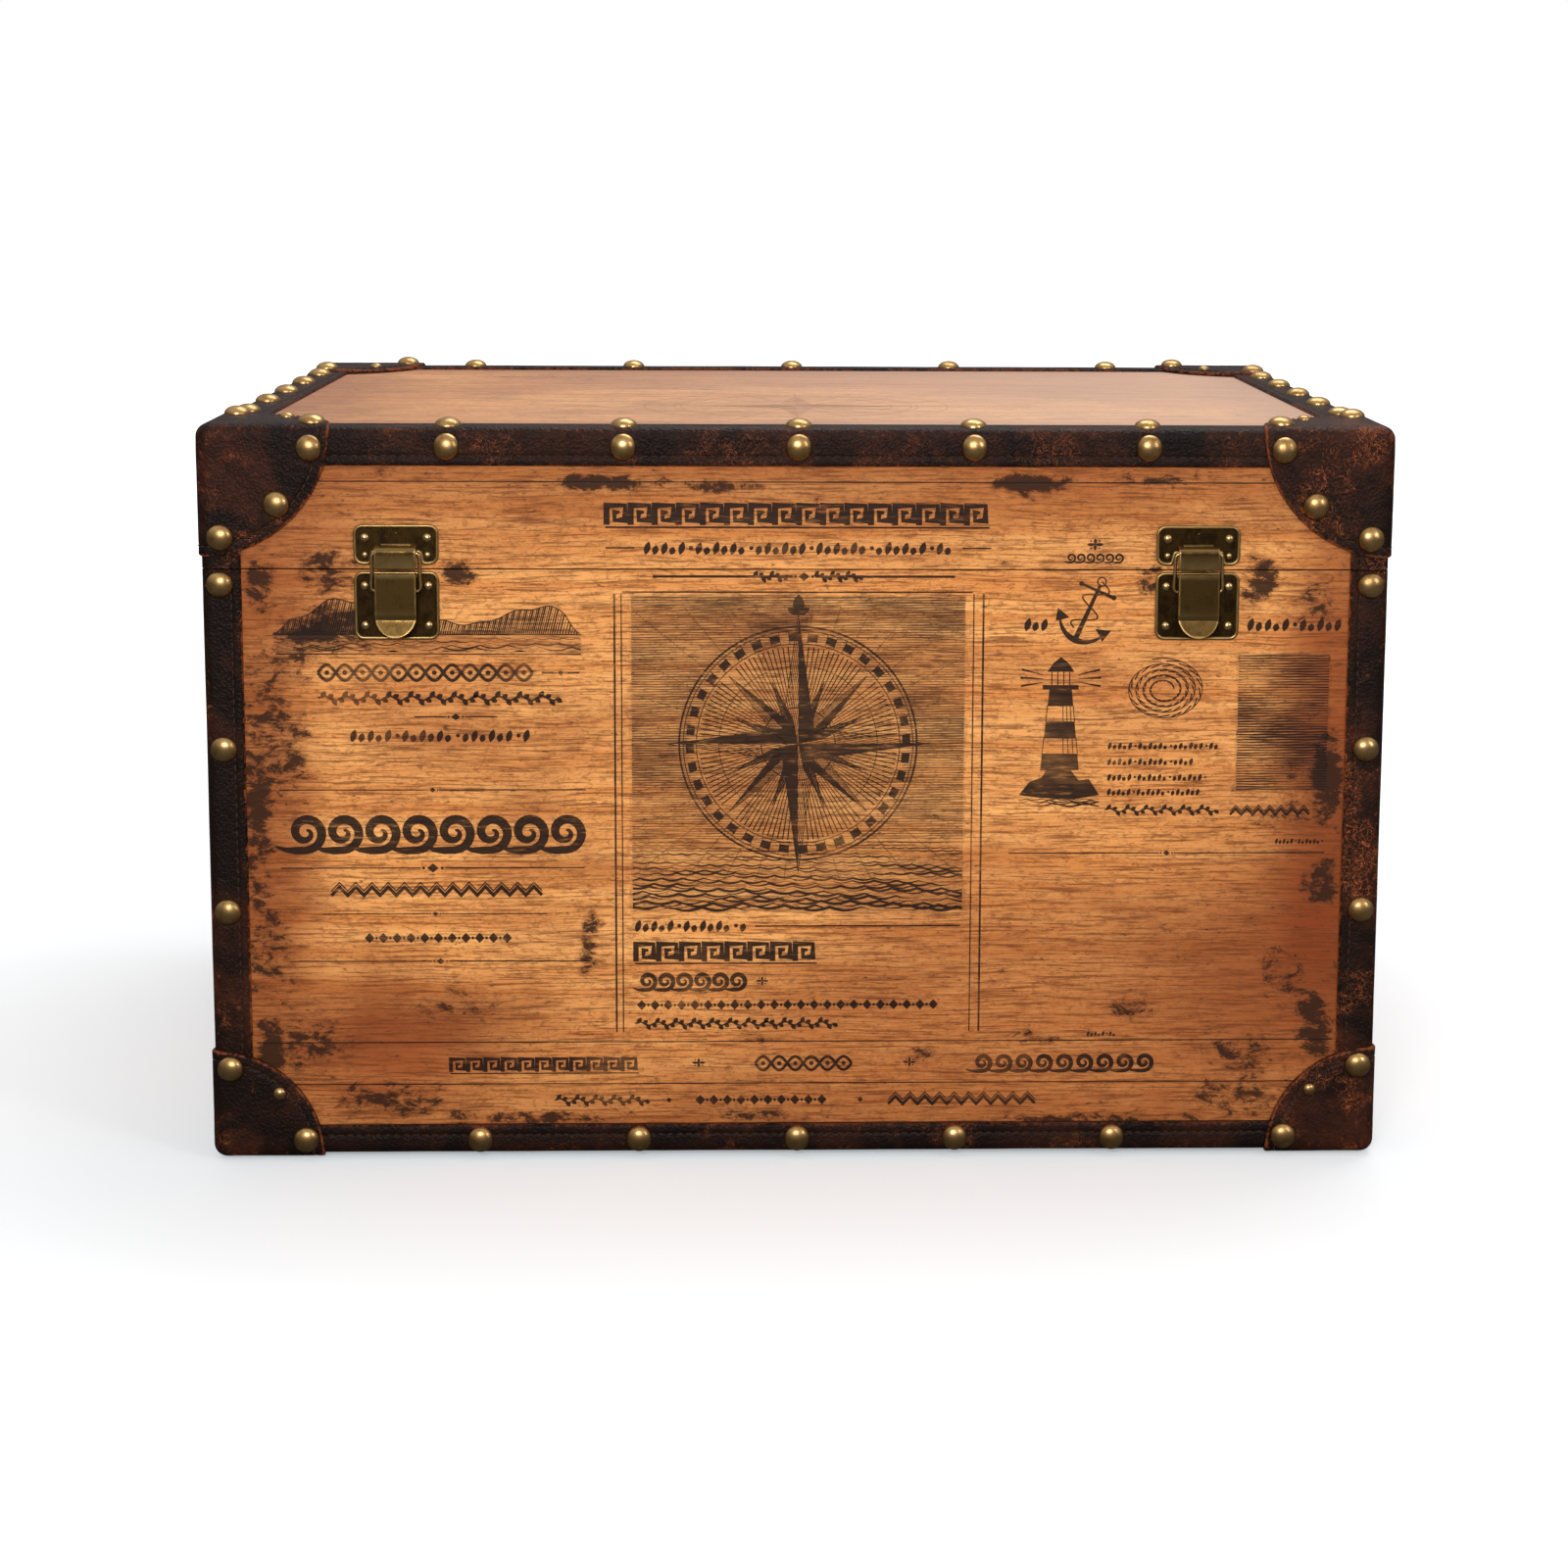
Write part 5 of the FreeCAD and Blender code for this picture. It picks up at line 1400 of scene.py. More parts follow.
def hinge_leaf(x, up, knuckles):
    """Leaf with eased edges, its tongues and rolled knuckles; up is 1 for the lid, -1 for the body."""
    origin = (x, half_y, seam)
    rise = (0.0, 0.0, float(up))
    plate = rectangle(-leaf_half, leaf_half, 4.2, 30.2, 4.0)
    shapes = [slab(plate, 0, sheet, origin, RIGHT, rise, BACK, 0.3)]
    for k in knuckles:
        x0 = -leaf_half + knuckle_pitch * k + knuckle_gap
        x1 = x0 + knuckle
        tongue = rectangle(x0, x1, 0.9, 8.2, 0.3, 3)
        shapes.append(slab(tongue, 0, sheet, origin, RIGHT, rise, BACK, 0.2))
        profile = [(2.2, x0), (3.2, x0 + 0.05), (3.4, x0 + 0.3), (3.4, x1 - 0.3), (3.2, x1 - 0.05), (2.2, x1)]
        shapes.append(spun(profile, (x, hinge_y, seam), RIGHT, UP, 24))
    return shapes


def hinge_screws(up):
    """Three domed screw heads on each leaf."""
    places = [(x + a, b) for x in (-hinge_x, hinge_x) for a, b in ((-23, 11.2), (23, 11.2), (0, 23.2))]
    return heads(screw_head, [(x, half_y + sheet, seam + up * b) for x, b in places], BACK)


for up, body, knuckles, name in ((-1, "case", (0, 2), "body"), (1, "lid", (1,), "lid")):
    shapes = [shape for x in (-hinge_x, hinge_x) for shape in hinge_leaf(x, up, knuckles)]
    piece = make_piece("hinge_" + name + "_plates", shapes, dull_brass, body, metal_angle)
    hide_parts("hinge_" + name + "_leaves")
    piece = make_piece("hinge_" + name + "_heads", [hinge_screws(up)], dull_brass, body)
    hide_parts("hinge_" + name + "_screws")
rod_profile = [(1.0, -31), (1.6, -30.4), (1.6, 30.4), (1.0, 31)]
shapes = [spun(rod_profile, (x, hinge_y, seam), RIGHT, UP, 16) for x in (-hinge_x, hinge_x)]
piece = make_piece("hinge_rods", shapes, dull_brass, "case")
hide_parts("hinge_pins")

# %% Drop handles
handle_z = 245.0
handle_out = half_x + 11.0
handle_drop = 45.0
handle_half = 48.0
grip_half = 36.0
plate_y = 63.0


def flipped(shape, sx):
    """Shape of the right end carried to the left end when sx is -1."""
    return shape[0] * np.array([sx, 1.0, 1.0]), shape[1]


def handle_bar():
    """Round bar with its ends in the eyes, hanging down from them."""
    half = [(71, handle_z), (handle_half, handle_z), (handle_half, handle_z - handle_drop)]
    corners = [(handle_out, y, z) for y, z in half] + [(handle_out, -y, z) for y, z in half[::-1]]
    return tube(bent_path(corners, [0, 4.5, 9, 9, 4.5, 0]), 3.0, 16)


def handle_grip():
    """Leather grip: radius 6 at its ends, 8 in the middle, with a raised seam ridge underneath."""
    t = np.linspace(-grip_half, grip_half, 41)
    swell = 6 + 2 * (1 - np.abs(t / grip_half) ** 2.4)
    turn = np.arange(28) * 2 * math.pi / 28
    ridge = 0.5 * bell(turn - math.pi, 0.16)
    mouth = np.full((1, len(turn)), 3.1)
    radius = np.concatenate([mouth, swell[:, None] + ridge[None], mouth])
    t = np.concatenate([t[:1], t, t[-1:]])
    out = handle_out + np.sin(turn) * radius
    up = handle_z - handle_drop + np.cos(turn) * radius
    return loft(np.stack([out, np.broadcast_to(t[:, None], out.shape), up], -1))


def handle_plates():
    """Two plates, each with a rolled eye on a short neck."""
    shapes = []
    for y in (-plate_y, plate_y):
        origin = (half_x, y, handle_z)
        shapes.append(slab(rectangle(-11, 11, -21, 21, 7, 7), 0, sheet, origin, BACK, UP, RIGHT, 0.35))
        shapes.append(slab(rectangle(-5, 5, -5, 5, 1.0, 3), 1.0, 9.0, origin, BACK, UP, RIGHT, 0.2))
        profile = [(3.4, -5), (4.8, -5), (5.2, -4.5), (5.2, 4.5), (4.8, 5), (3.4, 5)]
        shapes.append(spun(profile, (handle_out, y, handle_z), BACK, UP, 24))
    return shapes


seam_x = handle_out + 1.3
seam_z = handle_z - 53.6
handle_seam = line_of((seam_x, -33, seam_z), (seam_x, 33, seam_z), (0.3, 0, -0.954), 4.2)
for side, sx in ends:
    body = "handle_" + side
    piece = make_piece("handle_bar_" + side, [flipped(handle_bar(), sx)], dull_brass, body)
    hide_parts("handle_bail_" + side)
    grip = flipped(handle_grip(), sx)
    piece = make_piece("handle_leather_" + side, [grip], edge_leather, body)
    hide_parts("handle_grip_" + side)
    threads = flipped(repeated(stitch, *handle_seam), sx)
    make_piece("handle_stitches_" + side, [threads], waxed_thread, body)
    shapes = [flipped(shape, sx) for shape in handle_plates()]
    piece = make_piece("handle_plates_" + side, shapes, dull_brass, "case", metal_angle)
    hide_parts("handle_mounts_" + side)
spots = [(sx * (half_x + sheet), y, handle_z + up)
         for sx in (-1, 1) for y in (-plate_y, plate_y) for up in (-14, 14)]
outward = [(math.copysign(1, x), 0, 0) for x, y, z in spots]
piece = make_piece("handle_heads", [heads(screw_head, spots, outward)], dull_brass, "case")
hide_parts("handle_screws")

# %% Stays
eye = 7.0
waist = 9.0
stay_y = 154.0
stay_lift = 45.0
lining_x = 318.0
elbow = (76.0, seam)
lower_arm = (309.0, 311.0)
upper_arm = (306.5, 308.5)
pin_head = [(2.0, -3.3), (4.2, -3.2), (4.5, -2.8), (4.5, -2.3), (2.5, -2.3)]


def stay_arm(start, end, x_low, x_high):
    """Flat arm: two round eyes joined by a narrower waist, eased all round."""
    start, end = np.array(start), np.array(end)
    along = unit(end - start)
    basis = np.array([along, [-along[1], along[0]]])
    gap = math.asin(waist / 2 / eye)
    near = np.linspace(gap, 2 * math.pi - gap, 22)
    far = np.linspace(math.pi + gap, 3 * math.pi - gap, 22)
    outline = np.concatenate([start + eye * around(near) @ basis, end + eye * around(far) @ basis])
    return slab(outline, x_low, x_high, (0, 0, 0), BACK, UP, RIGHT, 0.3)


def stay_bracket(y, z, arm_outer):
    """Plate on the lining with boss, pin and head."""
    outline = rectangle(y - 11, y + 11, z - 15, z + 15, 4.0)
    plate = slab(outline, lining_x - sheet, lining_x, (0, 0, 0), BACK, UP, RIGHT, 0.3)
    profile = pin_head + [(2.5, 0.3), (5.3, 0.3), (5.5, 0.6)]
    profile = [(radius, arm_outer + along) for radius, along in profile] + [(5.5, lining_x - 1.2)]
    return [plate, spun(profile, (0, y, z), RIGHT, UP, 24)]


for side, sx in ends:
    lower = stay_arm((stay_y, seam - stay_lift), elbow, *lower_arm)
    profile = [(radius, upper_arm[1] + along) for radius, along in pin_head] + [(2.5, lower_arm[0] + 0.2)]
    shapes = [flipped(lower, sx), flipped(spun(profile, (0, *elbow), RIGHT, UP, 24), sx)]
    body = "stay_lower_" + side
    piece = make_piece(body + "_bar", shapes, dull_brass, body)
    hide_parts("stay_lower_arm_" + side)
    upper = stay_arm((stay_y, seam + stay_lift), elbow, *upper_arm)
    body = "stay_upper_" + side
    piece = make_piece(body + "_bar", [flipped(upper, sx)], dull_brass, body)
    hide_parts("stay_upper_arm_" + side)
brackets = (("body", "case", seam - stay_lift, lower_arm[1]), ("lid", "lid", seam + stay_lift, upper_arm[1]))
for name, body, z, arm_outer in brackets:
    shapes = [flipped(shape, sx) for sx in (-1, 1) for shape in stay_bracket(stay_y, z, arm_outer)]
    piece = make_piece("stay_" + name + "_plates", shapes, dull_brass, body, metal_angle)
    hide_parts("stay_" + name + "_brackets")

# %% Foot glides
glide_profile = [(5.2, 0.0), (6.0, 0.25), (7.4, 1.2), (8.4, 2.4), (9.0, 4.0), (9.0, 5.0)]
shapes = [spun(glide_profile, (sx * 262.0, sy * 170.0, 0.0), UP, RIGHT, 28) for sx, sy in signs]
piece = make_piece("glides", shapes, dull_brass, "case")
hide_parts("foot_glides")

# %% [markdown]
# ## The printed design
# The front carries an old nautical print. It is drawn here with a pen: every line is a flat stroke
# a few hundredths of a millimetre above the boards, and the ink material lets the wood show
# through. Each stroke of a piece lies a hair higher than the one before, so crossing strokes
# hardly ever share a plane.

# %% Pen strokes
def pen(path, width):
    """Flat stroke; at a corner the offset is the sum of both normals over 1 plus their product."""
    path = np.asarray(path, float)
    ahead = unit(np.diff(path, axis=0))
    normal = np.stack([-ahead[:, 1], ahead[:, 0]], -1)
    before = np.concatenate([normal[:1], normal])
    after = np.concatenate([normal, normal[-1:]])
    side = (before + after) / (1 + np.sum(before * after, 1, keepdims=True))
    side = side * np.broadcast_to(width, (len(path),))[:, None] / 2
    return np.concatenate([path + side, path - side]), grid_faces(2, len(path))


def filled(outline):
    """Flat face inside an outline, ordered so that it looks out of the board."""
    outline = np.asarray(outline, float)
    return outline if double_area(outline) > 0 else outline[::-1], [list(range(len(outline)))]


def bow(centre, radius, start, end, width, steps):
    """Stroke along an arc, angles in degrees."""
    angle = np.radians(np.linspace(start, end, steps))
    return pen(centre + radius * around(angle), width)


def spot(centre, radius, sides=12):
    """Filled dot."""
    angle = np.arange(sides) * 2 * math.pi / sides
    return filled(centre + radius * around(angle))


def lozenge(x, z, a, b):
    """Filled diamond with half diagonals a and b."""
    return filled([(x - a, z), (x, z - b), (x + a, z), (x, z + b)])


def leaf(x, z, degrees, length, breadth):
    """Leaf from its foot in a direction; its half breadth is a sine over its length."""
    t = np.linspace(0, 1, 8)
    swell = breadth / 2 * np.sin(math.pi * t) ** 0.8
    along = around(math.radians(degrees))
    aside = np.array([-along[1], along[0]])
    foot = np.array([x, z])
    upper = foot + t[:, None] * length * along + swell[:, None] * aside
    lower = foot + t[:, None] * length * along - swell[:, None] * aside
    return filled(np.concatenate([upper, lower[-2:0:-1]]))


def flat_piece(name, shapes, material=None, body="case", lift=0.05, face="front"):
    """Strokes laid on the front or the top, each a thousandth of a millimetre above the last of 29."""
    points, faces = joined(shapes)
    layers = 29
    steps = [np.full(len(shape[0]), lift + 0.001 * (k % layers)) for k, shape in enumerate(shapes)]
    height = np.concatenate(steps)
    if face == "front":
        space = np.stack([points[:, 0], -half_y - height, points[:, 1]], -1)
    else:
        space = np.stack([points[:, 0], points[:, 1], lid_top + height], -1)
    return make_piece(name, [(space, faces)], material or ink_dark, body, closed=False)


def polar(centre, radius, degrees):
    """Point at a distance and bearing from a centre."""
    return centre + radius * around(math.radians(degrees))


def ray(centre, near, far, degrees, width):
    """Stroke along a bearing between two distances from a centre."""
    return pen([polar(centre, near, degrees), polar(centre, far, degrees)], width)

# %% [markdown]
# Most of the print is rows of ornament: frets, running waves, leaf stems, braids, chevrons, beads
# and lozenges, heavy and light by turns. Each kind is a motif of a few shares of the row's height,
# set side by side as often as it fits.

# %% Rows of ornament
def units(x0, x1, pitch):
    """Left edges and width of the whole motifs that fit between x0 and x1."""
    count = max(1, round((x1 - x0) / pitch))
    return x0 + np.arange(count) * (x1 - x0) / count, (x1 - x0) / count


def fret_row(x0, x1, low, high):
    """Key pattern between two thin rules."""
    tall = high - low
    starts, wide = units(x0, x1, tall * 1.05)
    key = [(0.05, 0.0), (0.05, 0.84), (0.82, 0.84), (0.82, 0.2), (0.38, 0.2), (0.38, 0.55), (0.6, 0.55)]
    weights = np.array([0.26, 0.26, 0.16, 0.26, 0.15, 0.2, 0.12]) * tall
    shapes = [pen(np.array(key) * (wide, tall) + (start, low), weights) for start in starts]
    return shapes + [pen([(x0, low - 0.1 * tall), (x1, low - 0.1 * tall)], 0.08 * tall)]


def wave_row(x0, x1, low, high):
    """Running wave: spirals whose radius falls to a tenth while the pen thins."""
    tall = high - low
    starts, wide = units(x0, x1, tall * 1.1)
    share = np.linspace(0, 1, 34)
    angle = np.radians(-90 + 520 * share)
    radius = tall * (0.46 * (1 - share) ** 0.85 + 0.05)
    coil = radius[:, None] * around(angle) + (0.5 * wide, 0.5 * tall)
    tail = np.array([(-0.32 * wide, 0.1 * tall), (-0.05 * wide, 0.0), (0.22 * wide, -0.02 * tall)])
    path = np.concatenate([tail, coil])
    weights = np.concatenate([[0.06, 0.14, 0.22], 0.06 + 0.2 * np.sin(math.pi * (0.3 + 0.7 * share))]) * tall
    return [pen(path + (start, low), weights) for start in starts]


def leaf_row(x0, x1, low, high):
    """Waving stem with leaves above and below by turns."""
    tall, middle = high - low, (low + high) / 2
    starts, wide = units(x0, x1, tall * 1.5)
    x = np.linspace(x0, x1, len(starts) * 12 + 1)
    stem = np.stack([x, middle + 0.16 * tall * np.sin((x - x0) / wide * 2 * math.pi)], -1)
    shapes = [pen(stem, 0.13 * tall)]
    for start in starts:
        for share, rise, reach in ((0.12, 58, 0.62), (0.42, 34, 0.5), (0.62, -58, 0.62), (0.92, -34, 0.5)):
            shapes.append(leaf(start + share * wide, middle, rise, reach * tall, 0.36 * tall))
    return shapes


def braid_row(x0, x1, low, high):
    """Two sine strands that cross, with a bead in every eye."""
    tall, middle = high - low, (low + high) / 2
    starts, wide = units(x0, x1, tall * 1.7)
    x = np.linspace(x0, x1, len(starts) * 16 + 1)
    swing = 0.4 * tall * np.sin((x - x0) / wide * 2 * math.pi)
    shapes = [pen(np.stack([x, middle + sign * swing], -1), 0.17 * tall) for sign in (1, -1)]
    beads = [(start + share * wide, middle) for start in starts for share in (0.25, 0.75)]
    return shapes + [spot(bead, 0.13 * tall, 8) for bead in beads]


def chevron_row(x0, x1, low, high):
    """Zigzag in a thick and a thin line."""
    tall = high - low
    starts, wide = units(x0, x1, tall * 1.2)
    x = x0 + np.arange(2 * len(starts) + 1) * wide / 2
    z = np.where(np.arange(len(x)) % 2 == 0, low + 0.1 * tall, high - 0.25 * tall)
    thick = pen(np.stack([x, z], -1), 0.26 * tall)
    thin = pen(np.stack([x, z + 0.34 * tall], -1), 0.1 * tall)
    return [thick, thin]


def bead_row(x0, x1, low, high):
    """Lozenges and dots by turns."""
    tall, middle = high - low, (low + high) / 2
    starts, wide = units(x0, x1, tall * 1.25)
    shapes = [lozenge(start + wide / 2, middle, 0.36 * wide, 0.5 * tall) for start in starts]
    return shapes + [spot((start, middle), 0.15 * tall, 8) for start in starts[1:]]


def seed_row(x0, x1, low, high):
    """Slanting seeds, long and short by turns, as small light rows."""
    tall = high - low
    starts, wide = units(x0, x1, tall * 0.62)
    shapes = []
    for k, start in enumerate(starts):
        if k % 7 == 5:
            shapes.append(spot((start + wide / 2, low + tall / 2), 0.16 * tall, 8))
        else:
            length = tall * (1.0, 0.72, 0.95, 0.6)[k % 4]
            shapes.append(leaf(start + 0.2 * wide, low, 74, length, 0.46 * tall))
    return shapes


def ruled(x0, x1, z, width=0.45, knot=0.0):
    """Thin rule; with a knot it parts round a small lozenge between two dots."""
    width = 1.4 * width
    if knot == 0:
        return [pen([(x0, z), (x1, z)], width)]
    middle = (x0 + x1) / 2
    gap = 2.6 * knot
    shapes = [pen([(x0, z), (middle - gap, z)], width), pen([(middle + gap, z), (x1, z)], width)]
    shapes.append(lozenge(middle, z, 1.3 * knot, knot))
    return shapes + [spot((middle + side * 2.0 * knot, z), 0.35 * knot, 8) for side in (-1, 1)]


def fleuron(x, z, size):
    """Four leaves round a dot."""
    lengths = (1.4, 1.0, 1.4, 1.0)
    shapes = [leaf(x, z, 90 * k, size * length, 0.55 * size) for k, length in enumerate(lengths)]
    corners = [(0.7 * sx * size, 0.6 * sz * size) for sz in (1, -1) for sx in (1, -1)]
    return shapes + [spot((x + a, z + b), 0.16 * size, 8) for a, b in corners]

# %% [markdown]
# The pictures are drawn the way an engraver would: tone comes from lines that swell and thin. A
# compass rose stands over the sea in the middle, a coast on the left, and an anchor, a lighthouse
# and a coil of rope on the right.

# %% Engraved tone
def hatch(x0, x1, z0, z1, pitch, tone):
    """Level lines whose width is the tone at each point; the tone is a function of x and z."""
    shapes = []
    x = np.linspace(x0, x1, 60)
    for k in range(int((z1 - z0) / pitch)):
        z = z0 + (k + 0.5) * pitch + 0.12 * np.sin(x / 3.1 + k * 1.7)
        width = np.clip(tone(x, z), 0.06, 0.85 * pitch)
        shapes.append(pen(np.stack([x, z], -1), width))
    return shapes


def ragged(x0, x1, z0, z1):
    """Rectangle of quads whose border wanders by a few sines, like the edge of a worn printing block."""
    depth = 1.1
    across = np.linspace(0, 1, 90)
    up = np.linspace(0, 1, 60)
    u, v = np.meshgrid(across, up, indexing="ij")
    side = (u == 1).astype(float) - (u == 0)
    end = (v == 1).astype(float) - (v == 0)
    x = x0 + (x1 - x0) * u + depth * side * np.sin(v * 41.0) * np.sin(v * 17.0 + 1.0)
    z = z0 + (z1 - z0) * v + depth * end * np.sin(u * 53.0) * np.sin(u * 23.0 + 2.0)
    return np.stack([x, z], -1).reshape(-1, 2), grid_faces(len(across), len(up))


def cloudy(x, z):
    """Sky tone: drifting bands and heaps from a few sines."""
    drift = np.sin(x / 17.0 + z / 9.0) + np.sin(x / 7.3 - z / 5.1 + 1.0) * 0.6 + np.sin(z / 13.0 + 2.0) * 0.8
    return 0.62 + 0.2 * drift


def sea_waves(x0, x1, low, high, rows, weight):
    """Rows of broken waves: each crest is a rounded hump, longer and heavier towards the front."""
    shapes = []
    for k in range(rows):
        near = 1 - k / rows
        z = low + (high - low) * (k / rows) ** 1.1
        length = 5 + 13 * near
        x = np.linspace(x0, x1, int((x1 - x0) / 1.1))
        phase = (x + 7.7 * k * k) / length * math.pi
        crest = 1.0 - np.abs(np.sin(phase))
        swell = np.clip(0.5 + 0.6 * np.sin(x / (11.0 + 2.3 * (k % 5)) + k * 2.1), 0.08, 1)
        shapes.append(pen(np.stack([x, z + crest * 1.6 * (0.25 + near)], -1), weight * (0.35 + near) * swell))
    return shapes

# %% Compass rose
def rose_point(centre, bearing, reach, waist, spread):
    """One ray of the rose: its right half is solid, its left half is open with engraved lines."""
    tip = polar(centre, reach, bearing)
    right = polar(centre, waist, bearing - spread)
    left = polar(centre, waist, bearing + spread)
    shapes = [filled([centre, right, tip]), pen([centre, left, tip], [0.3, 0.5, 0.5])]
    for share in np.linspace(0.12, 0.9, 9):
        foot = np.array(centre) * (1 - share) + np.array(left) * share
        far = np.array(centre) * (1 - share) + np.array(tip) * share
        shapes.append(pen([foot + (far - foot) * 0.03, far], 0.35))
    return shapes


def compass(centre, radius):
    """Rose of sixteen rays in a degree ring, with a small star in its middle."""
    shapes = []
    tiers = ((8, 22.5, 0.52, 0.2, 11.25), (4, 45, 0.74, 0.19, 22.5), (4, 0, 1.0, 0.17, 45))
    for count, first, reach, waist, spread in tiers:
        for k in range(count):
            shapes += rose_point(centre, first + 360 / count * k, radius * reach, radius * waist, spread)
    rings = ((0.77, 0.5), (0.87, 0.5), (0.9, 1.1), (0.6, 0.4), (0.28, 0.7))
    shapes += [bow(centre, radius * reach, 0, 360, width, 73) for reach, width in rings]
    shapes += [bow(centre, radius * 0.82, 10 * k, 10 * k + 5, radius * 0.06, 4) for k in range(36)]
    clear_of_points = [k for k in range(120) if k % 15 not in (0, 1, 14)]
    shapes += [ray(centre, radius * 0.3, radius * 0.75, 3 * k, [0.35, 0.75]) for k in clear_of_points]
    shapes += [ray(centre, radius * 0.77, radius * 0.87, 5 * k, 0.35) for k in range(72)]
    return shapes


def tip_mark(centre, radius):
    """Spearhead over the north ray."""
    x, z = centre[0], centre[1] + radius * 1.02
    leaves = ((90, 0.16, 0.09), (150, 0.1, 0.05), (30, 0.1, 0.05))
    return [leaf(x, z, degrees, radius * length, radius * breadth) for degrees, length, breadth in leaves]

# %% Coast, anchor, lighthouse and coil
def coast(x0, x1, base):
    """Hills under engraved shade, with water before them."""
    x = np.arange(x0, x1, 1.15)
    share = (x - x0) / (x1 - x0)
    hills = 5 + 7 * np.abs(np.sin(share * 7.1)) * bell(share - 0.24, 0.2) * 2
    hills += 10 * bell(share - 0.86, 0.12) + 1.6 * np.sin(share * 43) * np.sin(share * 9)
    hills = hills * step(0, 0.06, share) * (1 - step(0.94, 1, share)) + 0.8
    shapes = [pen(np.stack([x, base + hills], -1), 0.6), pen([(x0, base), (x1, base)], 0.8)]
    for k, foot in enumerate(x):
        rise = hills[k]
        lean = rise * 0.25
        shapes.append(pen([(foot - lean, base), (foot, base + rise)], [0.75, 0.25 + 0.4 * (k % 3)]))
    return shapes + sea_waves(x0, x1, base - 9, base - 1, 5, 0.7)


def anchor(x, z, tall):
    """Admiralty anchor, leaning: ring, stock, shank, arms and flukes."""
    turn = math.radians(-24)
    basis = np.array([[math.cos(turn), math.sin(turn)], [-math.sin(turn), math.cos(turn)]]) * tall
    local = [bow((0, 0.44), 0.06, 0, 360, 0.02, 20), pen([(-0.24, 0.3), (0.24, 0.3)], [0.035, 0.05])]
    local += [spot((-0.25, 0.3), 0.035), spot((0.25, 0.3), 0.035)]
    local.append(pen([(0, 0.4), (0, -0.46)], [0.045, 0.075]))
    swell = np.interp(np.linspace(0, 1, 24), [0, 0.5, 1], [0.03, 0.09, 0.03])
    local.append(bow((0, -0.1), 0.36, 205, 335, swell, 24))
    for side in (-1, 1):
        local.append(filled([(side * 0.41, -0.14), (side * 0.2, -0.2), (side * 0.36, -0.33)]))
    rope = np.linspace(0, 1, 30)
    coil = np.stack([0.16 * np.sin(rope * 12), 0.44 - rope * 0.75], -1)
    local.append(pen(coil, 0.022))
    return [(points @ basis + (x, z), faces) for points, faces in local]


def lighthouse(x, base, tall):
    """Banded tower with lantern, rays and rocks."""
    def at(points):
        """Points given as shares of the tower's height."""
        return np.array(points) * tall + (x, base)

    shapes = []
    for k in range(5):
        low, high = 0.2 + 0.11 * k, 0.2 + 0.11 * (k + 1)
        half = [0.15 - 0.1 * t for t in (low, high)]
        outline = at([(-half[0], low), (half[0], low), (half[1], high), (-half[1], high)])
        if k % 2 == 0:
            shapes.append(filled(outline))
        else:
            shapes.append(pen(np.concatenate([outline, outline[:1]]), 0.5))
            for s in (0.12, 0.26, 0.4):
                foot = outline[1] * (1 - s) + outline[0] * s
                head = outline[2] * (1 - s) + outline[3] * s
                shapes.append(pen([foot, head], 0.45))
    shapes.append(pen(at([(-0.12, 0.765), (0.12, 0.765)]), 0.03 * tall))
    shapes += [pen(at([(a, 0.78), (a, 0.87)]), 0.6) for a in (-0.06, -0.02, 0.02, 0.06)]
    shapes.append(filled(at([(-0.09, 0.87), (0.09, 0.87), (0.05, 0.93), (0, 0.97), (-0.05, 0.93)])))
    lamp = (x, base + 0.82 * tall)
    bearings = (14, 2, -10, 166, 178, 190)
    shapes += [ray(lamp, 0.12 * tall, 0.27 * tall, degrees, [0.3, 1.3]) for degrees in bearings]
    rock = [(-0.27, 0.03), (-0.2, 0.12), (-0.12, 0.15), (-0.08, 0.21), (0.07, 0.21),
            (0.13, 0.13), (0.2, 0.14), (0.27, 0.03), (0.1, 0.0), (-0.12, 0.01)]
    shapes.append(filled(at(rock)))
    return shapes + sea_waves(x - 0.27 * tall, x + 0.27 * tall, base - 4, base + 1, 4, 0.8)


def rope_coil(x, z, radius):
    """Spiral of rope: a double line with slanting twists between."""
    share = np.linspace(0, 1, 150)
    angle = share * 2 * math.pi * 4.3
    reach = radius * (0.25 + 0.75 * share)
    line = np.stack([x + reach * np.cos(angle), z + 0.78 * reach * np.sin(angle)], -1)
    shapes = [pen(line, 0.55)]
    for k in range(3, 148, 2):
        inner = line[k] + ((x, z) - line[k]) * 0.085
        shapes.append(pen([line[k - 2], inner], 0.75))
    return shapes

# %% Lid print
dark = fret_row(-107, 106, 364.6, 377.6) + seed_row(-86, 86, 347.9, 355.7)
dark += ruled(-107, -91, 351.8, 0.6) + ruled(91, 107, 351.8, 0.6)
dark += fleuron(165, 354, 3.4) + wave_row(149, 181, 344, 349)
flat_piece("lid_print_title", dark, body="lid")
flat_piece("lid_print_line", ruled(-306, 306, 388.6, 0.5), body="lid", lift=0.03)

# %% Middle picture
rose_centre = (0.0, 241.0)
picture_half = 93.0
uprights = ((-102.4, 1.1), (-98.6, 0.7), (97.8, 0.7), (103.2, 1.1))
frame_lines = [pen([(x, 74), (x, 326)], width) for x, width in uprights]
frame_lines += ruled(-98, 97, 327.0, 0.6) + ruled(-81, 87, 335.8, 1.0, 2.4)
frame_lines += leaf_row(-26, -8, 332.5, 339.0) + leaf_row(8, 34, 332.5, 339.0)
flat_piece("print_frame", frame_lines)


def sky(x, z):
    """Cloudy tone, lighter inside the rose's ring."""
    distance = np.hypot(x - rose_centre[0], z - rose_centre[1])
    return cloudy(x, z) * (0.3 + 0.7 * step(56, 67, distance)) + 0.1


